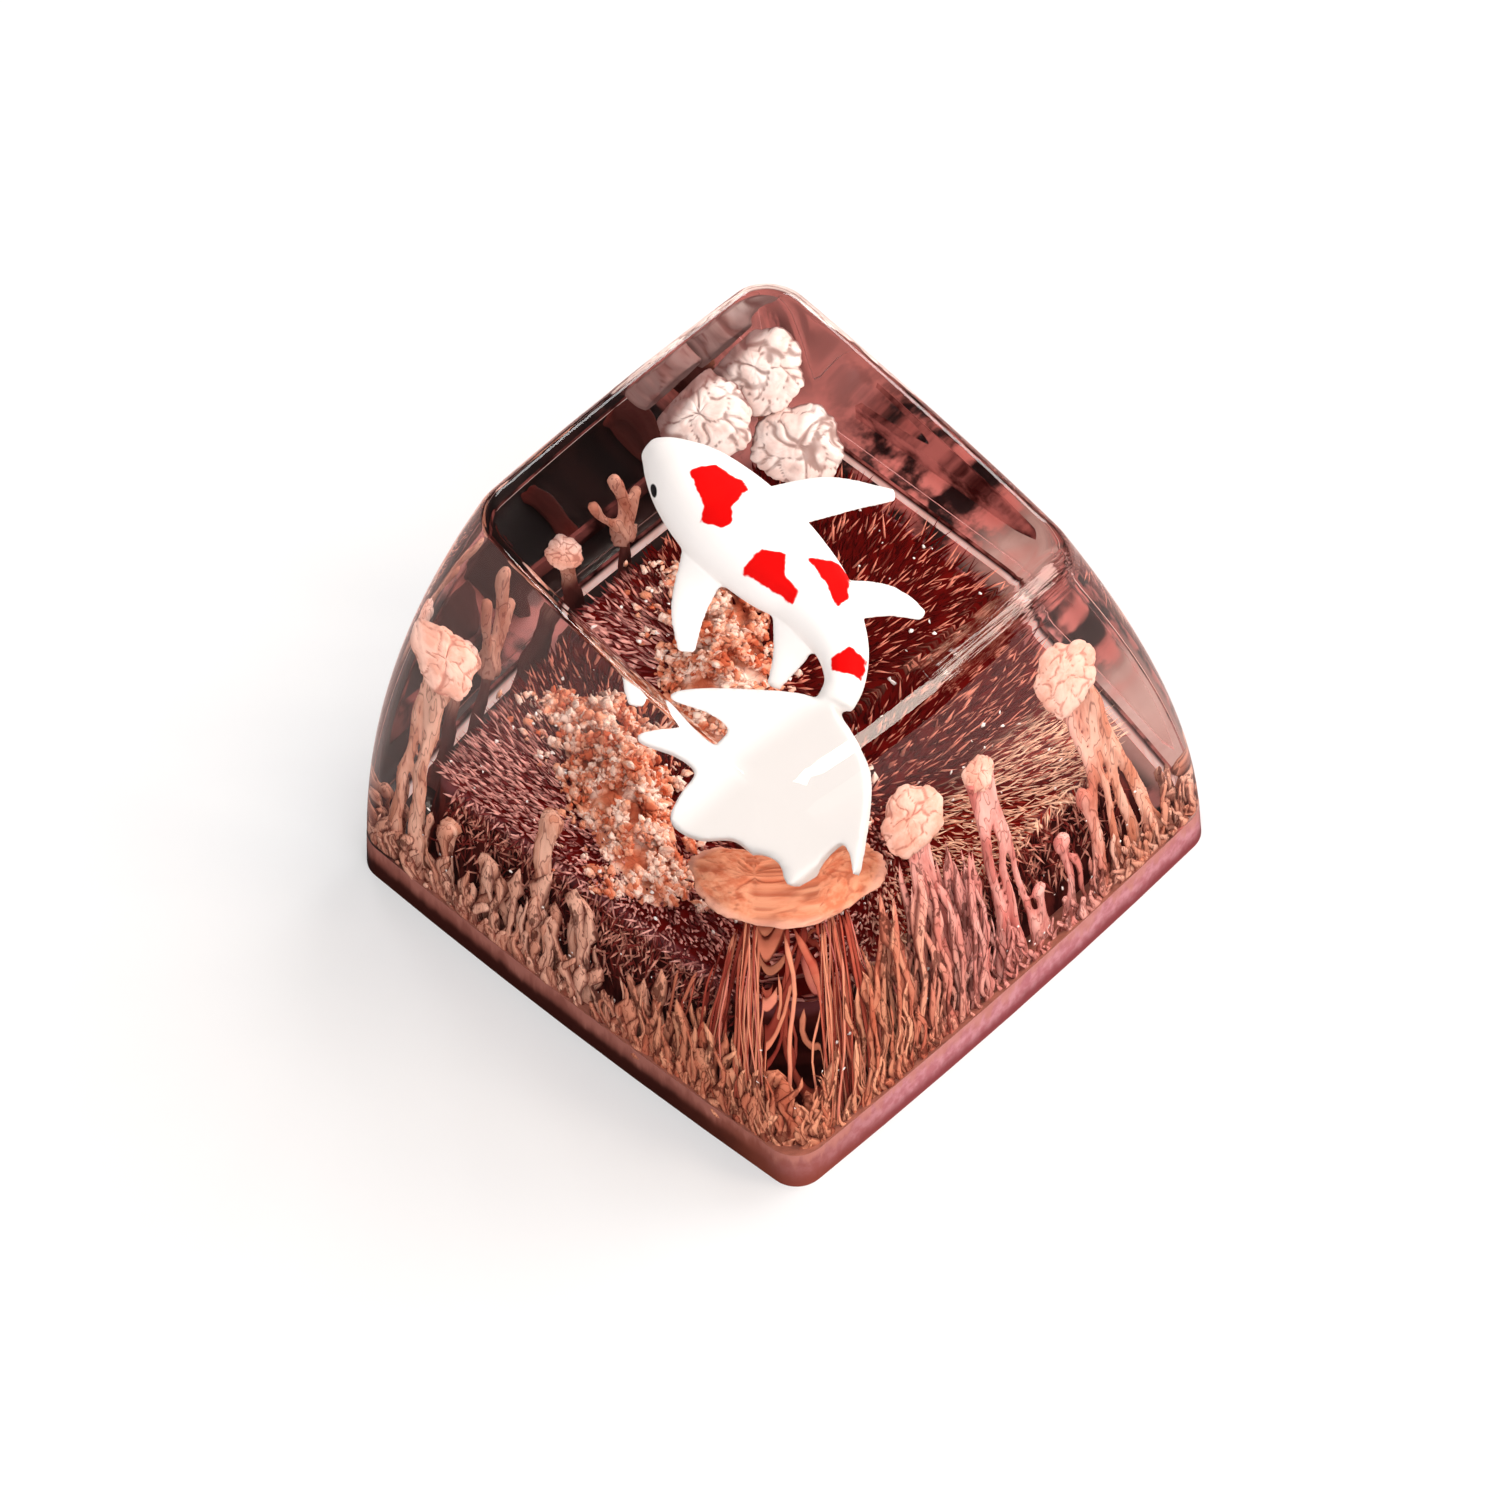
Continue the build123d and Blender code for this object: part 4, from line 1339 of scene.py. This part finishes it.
# %% Strands and fur
def strand_pigment():
    """Red, orange or pink, by strand, with sides darkened as painted shade."""
    finish = Finish("strand_pigment")
    streak = finish.noise(finish.place((2.4, 2.4, 0.3)), 1.0)
    stops = [(0.1, srgb(96, 22, 20)), (0.4, srgb(186, 84, 66)), (0.65, srgb(232, 150, 116)),
             (0.85, srgb(212, 112, 104))]
    tone = finish.kept("tone") * 0.7 + streak * 0.3
    colour = finish.node("ShaderNodeValToRGB", {"stops": stops}, {0: tone})
    # painted shade: each strand turns darker towards its sides
    sides = finish.smooth(finish.kept("aside"), 0.6, 0.98)
    return finish.matt(finish.blend(sides * 0.6, colour, srgb(96, 26, 20)), 0.8)


def fur_pigment():
    """Every needle has one colour: mauve on the left, peach on the right and mostly dark red at the back."""
    finish = Finish("fur_pigment")
    x, y, z = finish.parts(finish.place())
    tone = finish.kept("tone")
    left = finish.blend(finish.smooth(tone, 0.15, 0.8), srgb(112, 40, 40), srgb(238, 170, 158))
    right = finish.blend(finish.smooth(tone, 0.1, 0.6), srgb(150, 40, 28), srgb(255, 206, 176))
    far = finish.blend(finish.smooth(tone, 0.74, 0.84), srgb(84, 7, 6), srgb(222, 134, 112))
    hair = finish.blend(finish.smooth(tone, 0.35, 0.8), srgb(124, 46, 40), srgb(240, 164, 142))
    colour = finish.blend(finish.smooth(x - y, 0.0, 4.0), left, right)
    colour = finish.blend(finish.smooth(y, -3.6, -1.8) * finish.smooth(x, -3.0, 0.0), colour, far)
    return finish.matt(finish.blend(finish.smooth(z, 4.9, 4.6), colour, hair))


wear(strand_piece, strand_pigment())
wear(fur_piece, fur_pigment())

# %% [markdown]
# Crumbs go from orange to nearly white, with thin cracks along the borders of a bent cell pattern. The
# grains are almost white.

# %% Crumb pigment
def cracks(finish, cells_per_mm, width):
    """Thin lines along the borders of a bent cell pattern."""
    spot = finish.place()
    warp = finish.node("ShaderNodeTexNoise", None, {"Vector": spot, "Scale": 1.6}, out="Color")
    bent = finish.node("ShaderNodeVectorMath", {"operation": "ADD"}, {0: spot, 1: warp})
    cells = finish.node("ShaderNodeTexVoronoi", {"feature": "DISTANCE_TO_EDGE"},
                        {"Vector": bent, "Scale": cells_per_mm})
    return finish.smooth(cells, width, 0.0)


def crumb_pigment():
    """Pale pink to orange crumbs, each with a tone of its own."""
    finish = Finish("mound_pigment")
    tone = finish.kept("tone") * 0.5 + finish.blots(finish.place(), 1.1, 4.0) * 0.5
    stops = [(0.2, srgb(206, 104, 70)), (0.45, srgb(242, 168, 134)), (0.72, srgb(255, 224, 206))]
    colour = finish.node("ShaderNodeValToRGB", {"stops": stops}, {0: tone})
    return finish.matt(finish.blend(cracks(finish, 2.6, 0.08) * 0.4, colour, srgb(160, 70, 52)))


def grain_pigment():
    """Nearly white, in soft clouds."""
    finish = Finish("white_grain")
    tone = finish.blots(finish.place(), 2.0, 4.0)
    return finish.matt(finish.blend(tone, srgb(255, 250, 245), srgb(245, 225, 215)), 0.8, 0.1)


wear(crumb_piece, crumb_pigment())
wear(grain_piece, grain_pigment())

# %% [markdown]
# The lip is pale only on the face that looks inwards, and dark elsewhere. That face is painted as lit
# and gets a glow of its own: painted light.

# %% Lip
def lip_pigment():
    finish = Finish("pale_lip")
    spot = finish.place()
    pale = finish.blend(finish.blots(spot, 0.8, 3.0), srgb(248, 212, 204), srgb(236, 186, 174))
    to_right, to_back = finish.turned()[:2]
    low = finish.smooth(finish.parts(spot)[2], 2.15, 1.75)
    # painted light: the low part of the inward face is pale and glows
    lit_inner_face = finish.smooth(to_right + to_back, -0.4, -0.7) * low
    outer = finish.blend(finish.blots(spot, 0.9, 4.0, 0.36, 0.62), srgb(40, 4, 3), srgb(150, 80, 74))
    painted_glow = {"Emission Color": finish.blend(lit_inner_face, (0, 0, 0), pale), "Emission Strength": 0.7}
    return finish.output(finish.principled(finish.blend(lit_inner_face, outer, pale), 0.8, 0.0, painted_glow))


wear(lip_piece, lip_pigment())

# %% [markdown]
# ## The koi
# The fish is a small figure, sculpted by hand and painted. Sculpt strokes can't be written down in a few
# lines, but its body is close to a skin through oval sections, and so is each fin.

# %% Koi body and fins
KOI_LENGTH = 10.2
KOI_DEPTH = 2.95            # spine below the plane of the top, on the axis
KOI_FALL = 0.06             # slope of the spine towards the tail
FIN_HALF = 0.22
KOI_MELT = (0.08, 10)       # voxel, and rounds of smoothing
# place in plan, half width and half height, in shares of the length, from snout to tail root
KOI_SECTIONS = [
    (0.044, 0.574, 0.038, 0.036),
    (0.048, 0.512, 0.086, 0.078),
    (0.044, 0.402, 0.138, 0.122),
    (0.029, 0.235, 0.167, 0.147),
    (0.020, 0.039, 0.157, 0.137),
    (0.010, -0.108, 0.123, 0.113),
    (-0.049, -0.270, 0.083, 0.083),
    (-0.132, -0.368, 0.059, 0.054),
    (-0.216, -0.407, 0.054, 0.039),
]
# place in plan, drop below the spine and half width, in shares of the length, from root to tip
KOI_FINS = {
    "right_pectoral": [
        (0.118, 0.206, 0.020, 0.082), (0.304, 0.108, 0.025, 0.074), (0.446, -0.022, 0.029, 0.022)],
    "left_pectoral": [
        (-0.078, 0.216, 0.029, 0.082), (-0.250, 0.138, 0.075, 0.056), (-0.350, 0.060, 0.131, 0.028)],
    "right_pelvic": [
        (0.049, -0.152, 0.020, 0.078), (0.157, -0.250, 0.029, 0.060), (0.200, -0.362, 0.034, 0.020)],
    "left_pelvic": [
        (-0.069, -0.133, 0.029, 0.084), (-0.176, -0.185, 0.054, 0.050), (-0.275, -0.215, 0.078, 0.022)],
}


def spine(x, y, drop):
    """Point under the spine's level, in millimetres, from shares of the length."""
    level = CAP_HEIGHT - KOI_DEPTH + KOI_FALL * y * KOI_LENGTH
    return np.stack([x * KOI_LENGTH, y * KOI_LENGTH, level - drop * KOI_LENGTH], -1)


def oval_skin(name, centres, half_widths, half_heights, around):
    """Closed skin through ovals that stand across a line, their width level."""
    rows = len(centres) - 1
    heading = np.gradient(centres, axis=0)
    side = unit(np.cross(heading, (0, 0, 1.0)))
    up = unit(np.cross(side, heading))

    def place(u, v):
        row = np.rint(v * rows).astype(int)
        turn = u * 2 * math.pi
        wide = (half_widths[row] * np.cos(turn))[:, None]
        high = (half_heights[row] * np.sin(turn))[:, None]
        return centres[row] + side[row] * wide + up[row] * high

    return wrapped_grid(name, around, rows, place)


def koi_body():
    rows = through(KOI_SECTIONS, 60)
    centres = spine(rows[:, 0], rows[:, 1], 0 * rows[:, 0])
    return oval_skin("koi_body", centres, rows[:, 2] * KOI_LENGTH, rows[:, 3] * KOI_LENGTH, 32)


def koi_fin(name, stations):
    rows = through(stations, 24)
    centres = spine(rows[:, 0], rows[:, 1], rows[:, 2])
    thin = FIN_HALF * np.linspace(1.0, 0.6, len(rows))
    return oval_skin(name, centres, rows[:, 3] * KOI_LENGTH, thin, 20)


# %% [markdown]
# The tail hangs down from the end of the body towards the near left corner. Its edge runs out into lobes
# and back into notches between them, so it is an open fan that a Solidify modifier makes thick. Then all
# parts of the fish are joined, and a fine remesh melts them into one figure with soft joints, as clay would.

# %% Koi tail
TAIL_LENGTH = 4.6
TAIL_PITCH = math.radians(36)
TAIL_HEADING = math.radians(205)
TAIL_HALF = 0.26
TAIL_GRID = (96, 14)        # rays, and steps along a ray
# angle from the heading in degrees, and reach in shares of the length
TAIL_EDGE = [(-92, 0.2), (-84, 0.5), (-76, 1.06), (-68, 0.82), (-58, 0.72), (-50, 0.92), (-44, 1.05),
             (-34, 0.98), (-22, 0.8), (-9, 0.84), (-2, 0.99), (2, 0.82), (11, 0.72), (18, 0.8),
             (21.5, 0.95), (27, 0.68), (38, 0.3)]


def koi_tail():
    angles, reaches = through(TAIL_EDGE, TAIL_GRID[0] + 1).T
    root = spine(np.array(KOI_SECTIONS[-1][0]), np.array(KOI_SECTIONS[-1][1]), 0.0)
    along = np.array([math.cos(TAIL_HEADING) * math.cos(TAIL_PITCH),
                      math.sin(TAIL_HEADING) * math.cos(TAIL_PITCH), -math.sin(TAIL_PITCH)])
    across = np.array([-math.sin(TAIL_HEADING), math.cos(TAIL_HEADING), 0])

    def place(u, v):
        ray = np.rint(u * TAIL_GRID[0]).astype(int)
        turn = np.radians(angles[ray])
        reach = v * reaches[ray] * TAIL_LENGTH
        return root + along * (reach * np.cos(turn))[:, None] + across * (reach * np.sin(turn))[:, None]

    tail = moved_grid("koi_tail", *TAIL_GRID, place)
    thicken = tail.modifiers.new("thickness", "SOLIDIFY")
    thicken.thickness = 2 * TAIL_HALF * MM
    thicken.offset = 0.0
    bpy.ops.object.modifier_apply(modifier=thicken.name)
    return tail


koi_pieces = [koi_body(), koi_tail()] + [koi_fin(name, rows) for name, rows in KOI_FINS.items()]
koi = melted(koi_pieces, "koi", *KOI_MELT)
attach(koi, "root")
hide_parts("koi_figure")
print("koi:", len(koi.data.polygons), "faces")

# %% [markdown]
# The koi is matt white with four red patches and black eyes. Each patch is an outline in plan. Every point
# of the skin keeps how deep inside an outline it lies, and the paint turns red where that is over zero. A
# little noise makes the edge look brushed.

# %% Patches of the koi
RED_PATCHES = [
    [(0.3, 3.9), (1.0, 3.5), (1.15, 2.45), (1.05, 2.1), (0.7, 2.15), (0.15, 1.95), (-0.15, 1.65),
     (-0.45, 1.75), (-0.8, 2.45), (-0.35, 2.65), (0.0, 3.35)],
    [(-0.2, 0.45), (0.2, -0.1), (-0.25, -0.45), (-0.45, -1.15), (-0.75, -1.2), (-0.9, -0.4), (-1.05, 0.45),
     (-0.95, 0.55), (-0.4, 0.5)],
    [(0.55, -0.55), (1.25, -1.1), (1.35, -1.45), (0.55, -2.2), (0.05, -2.25), (0.35, -1.55)],
    [(-1.3, -3.2), (-0.65, -3.35), (-0.5, -3.85), (-1.15, -4.2), (-1.4, -3.75), (-1.55, -3.45)],
]
BACK_LEVEL = 11.4           # patches are painted above this height only


def depth_inside(spots, outline):
    """How far points lie inside a closed outline, below zero outside."""
    start = np.array(outline)
    run = np.roll(start, -1, axis=0) - start
    gap = spots[:, None] - start
    share = np.clip((gap * run).sum(-1) / (run * run).sum(-1), 0, 1)
    distance = np.linalg.norm(gap - run * share[..., None], axis=-1).min(1)
    above = gap[..., 1] >= 0
    crosses = above != np.roll(above, -1, axis=1)
    steep = np.where(run[:, 1] == 0, 1.0, run[:, 1])
    left = gap[..., 0] < run[:, 0] * gap[..., 1] / steep
    inside = (crosses & left).sum(1) % 2 == 1
    return np.where(inside, distance, -distance)


koi_spots = points_of(koi) / MM
red_depth = np.max([depth_inside(koi_spots[:, :2], outline) for outline in RED_PATCHES], axis=0)
red_depth[koi_spots[:, 2] < BACK_LEVEL] = -1.0
keep(koi, "red_depth", red_depth)
print("share of the koi's points under red paint:", round(np.mean(red_depth > 0), 2))

# %% [markdown]
# The eyes could be separate balls, but on the figure they are flat dots of paint, so the finish draws them
# round two points on the head. The white gets a faint glow, which is painted light, but not on the tail,
# which hangs lower and is painted a darker white as shade.

# %% Koi paint
EYES = [(-0.76, 4.5, 12.52), (1.8, 4.35, 12.5)]
EYE_RADIUS = 0.23
EYE_EDGE = 0.03


def koi_paint():
    """White with a faint painted glow and a tail painted darker as shade, with red patches and black eyes."""
    finish = Finish("koi_paint")
    spot = finish.place()
    x, y = finish.parts(spot)[:2]
    wobble = finish.noise(spot, 2.4, 2.0) * 0.24 - 0.12
    red = finish.smooth(finish.kept("red_depth") + wobble, -0.02, 0.03)
    brushed = finish.blend(finish.noise(spot, 1.2, 2.0), srgb(232, 12, 8), srgb(216, 2, 4))
    white = finish.blend(finish.noise(spot, 0.5, 2.0), srgb(244, 240, 237), srgb(237, 232, 228))
    # painted shade: the tail is painted a darker white
    tail_shade = finish.smooth(y + x * 0.3, -4.0, -5.0)
    white = finish.blend(tail_shade, white, srgb(226, 221, 217))
    colour = finish.blend(red, white, brushed)
    unlit = finish.larger(red, tail_shade)
    for eye in EYES:
        pupil = finish.smooth(finish.distance(spot, eye), EYE_RADIUS + EYE_EDGE, EYE_RADIUS - EYE_EDGE)
        colour = finish.blend(pupil, colour, srgb(14, 14, 20))
        unlit = finish.larger(unlit, pupil)
    # painted light: a faint glow on the white, off on the tail, the red patches and the eyes
    painted_glow = {"Emission Color": finish.blend(unlit, (1, 0.98, 0.97), (0, 0, 0)), "Emission Strength": 0.1}
    return finish.output(finish.principled(colour, 0.6, 0.05, painted_glow))


wear(koi, koi_paint())

# %% [markdown]
# ## Table
# The cap stands on a white table. A bright floor would also show in every polished wall, where the real
# walls mirror a dim surrounding. So the floor is white to the camera and through the resin, grey to matt
# light, and dark and warm near the cap for mirror rays.

# %% Floor
FLOOR_HALF = 0.4
WHITE = (1, 1, 1, 1)


def floor_finish():
    finish = Finish("white_table")
    x, y = finish.parts(finish.place())[:2]
    white = finish.principled((0.56, 0.56, 0.56, 1.0), 1.0, 0.0,
                              {"Emission Color": WHITE, "Emission Strength": 0.25})
    bright = finish.smooth(finish.larger(x, y), 8.5, 14.0)
    lit = finish.blend(bright, (0.03, 0.02, 0.02), (0.45, 0.34, 0.32))
    painted_glow = finish.blend(bright, (0, 0, 0), (0.4, 0.3, 0.28))
    mirrored = finish.principled(lit, 1.0, 0.0, {"Emission Color": painted_glow, "Emission Strength": 1.0})
    grey = finish.principled((0.4, 0.39, 0.39, 1.0), 1.0, 0.0)
    seen = finish.larger(finish.ray("Is Camera Ray"), finish.ray("Is Transmission Ray"))
    unseen = finish.either(finish.ray("Is Glossy Ray"), grey, mirrored)
    return finish.output(finish.either(seen, unseen, white))


bpy.ops.object.select_all(action="DESELECT")
bpy.ops.mesh.primitive_plane_add(size=2 * FLOOR_HALF)
floor = bpy.context.object
floor.name = "white_table"
wear(floor, floor_finish())

# %% [markdown]
# ## Light
# The photo has soft light from all sides. Large lamps give it, with the strongest on the right, but they
# would show as white squares in the polished walls, so mirror rays don't see them. Four small lamps are
# seen by mirror rays, and they draw the bright lines on the top edges. The sky is dim and warm to the cap
# and white to the camera.

# %% Lamps and world
CAP_MIDDLE = Vector((0, 0, 6 * MM))
PLAIN = (1, 1, 1)
# name, direction from the cap, distance, side, power, colour
SOFT_LAMPS = [
    ("key_right", (0.95, -0.3, 0.55), 0.6, 0.35, 2.6, PLAIN),
    ("front", (-0.1, -0.85, 0.6), 0.65, 0.4, 1.5, PLAIN),
    ("front_left", (-0.75, -0.75, 0.85), 0.7, 0.45, 1.2, PLAIN),
    ("left", (-0.9, -0.35, 0.3), 0.6, 0.3, 0.9, PLAIN),
    ("overhead", (-0.2, -0.15, 1.0), 0.7, 0.28, 1.6, PLAIN),
]
GLINT_LAMPS = [
    ("back_glint", (0.44, 0.68, 0.59), 0.7, 0.2, 0.8, PLAIN),
    ("right_glint", (0.87, 0.17, 0.46), 0.7, 0.2, 0.8, PLAIN),
    ("left_line", (-0.87, 0.12, 0.48), 0.7, 0.1, 0.4, PLAIN),
    ("front_line", (0.46, -0.63, 0.62), 0.7, 0.24, 2.2, (1, 0.86, 0.75)),
]


def square_lamp(name, direction, distance, side, power, colour):
    """Square lamp that looks at the cap from a direction."""
    lamp = bpy.data.lights.new(name, "AREA")
    lamp.energy = power
    lamp.size = side
    lamp.color = colour
    holder = bpy.data.objects.new(name, lamp)
    bpy.context.scene.collection.objects.link(holder)
    away = Vector(direction).normalized()
    holder.location = CAP_MIDDLE + away * distance
    holder.rotation_euler = away.to_track_quat("Z", "Y").to_euler()
    return holder


def studio_sky():
    """World that is dim to the cap and white to the camera."""
    sky = Finish("studio", "worlds")
    dim = sky.node("ShaderNodeBackground", None, {"Color": (0.075, 0.05, 0.047, 1)})
    white = sky.node("ShaderNodeBackground", None, {"Color": WHITE})
    return sky.output(sky.either(sky.ray("Is Camera Ray"), dim, white), "ShaderNodeOutputWorld")


for row in SOFT_LAMPS:
    square_lamp(*row).visible_glossy = False
for row in GLINT_LAMPS:
    square_lamp(*row).visible_glossy = True
bpy.context.scene.world = studio_sky()
print("lamps:", len(SOFT_LAMPS), "soft and", len(GLINT_LAMPS), "that show as glints")

# %% [markdown]
# ## Camera
# The photo looks down over the near corner from far away. Its angles, and the number of pixels to a
# millimetre, were fitted to the corners of the cap in the photo. The camera is aimed beside the cap's axis,
# so that the cap lies where it lies in the photo.

# %% Camera
CAMERA_AZIMUTH = math.radians(-45.2)
CAMERA_ELEVATION = math.radians(51.69)
CAMERA_ROLL = math.radians(-1.86)
CAMERA_DISTANCE = 220.0
SENSOR_WIDTH = 36.0
PIXELS_PER_MM = 34.37
IMAGE_SIDE = 1500
TARGET = Vector((0, 0, 6))          # a point on the cap's axis
TARGET_PIXEL = (780.66, 718.66)     # where that point lies in the image

back = Vector((math.sin(CAMERA_AZIMUTH) * math.cos(CAMERA_ELEVATION),
               -math.cos(CAMERA_AZIMUTH) * math.cos(CAMERA_ELEVATION), math.sin(CAMERA_ELEVATION)))
right = Vector((math.cos(CAMERA_AZIMUTH), math.sin(CAMERA_AZIMUTH), 0))
up = back.cross(right)
right, up = (right * math.cos(CAMERA_ROLL) + up * math.sin(CAMERA_ROLL),
             up * math.cos(CAMERA_ROLL) - right * math.sin(CAMERA_ROLL))
aside = (IMAGE_SIDE / 2 - TARGET_PIXEL[0]) / PIXELS_PER_MM
above = (TARGET_PIXEL[1] - IMAGE_SIDE / 2) / PIXELS_PER_MM
aim = TARGET + right * aside + up * above
lens = bpy.data.cameras.new("camera")
lens.sensor_width = SENSOR_WIDTH
lens.lens = SENSOR_WIDTH * PIXELS_PER_MM * CAMERA_DISTANCE / IMAGE_SIDE
lens.clip_start = 0.01
camera = bpy.data.objects.new("camera", lens)
bpy.context.scene.collection.objects.link(camera)
facing = Matrix((right, up, back)).transposed().to_4x4()
camera.matrix_world = Matrix.Translation((aim + back * CAMERA_DISTANCE) * MM) @ facing
bpy.context.scene.camera = camera
bpy.context.scene.view_settings.view_transform = "Standard"
print("focal length in mm:", round(lens.lens, 1))
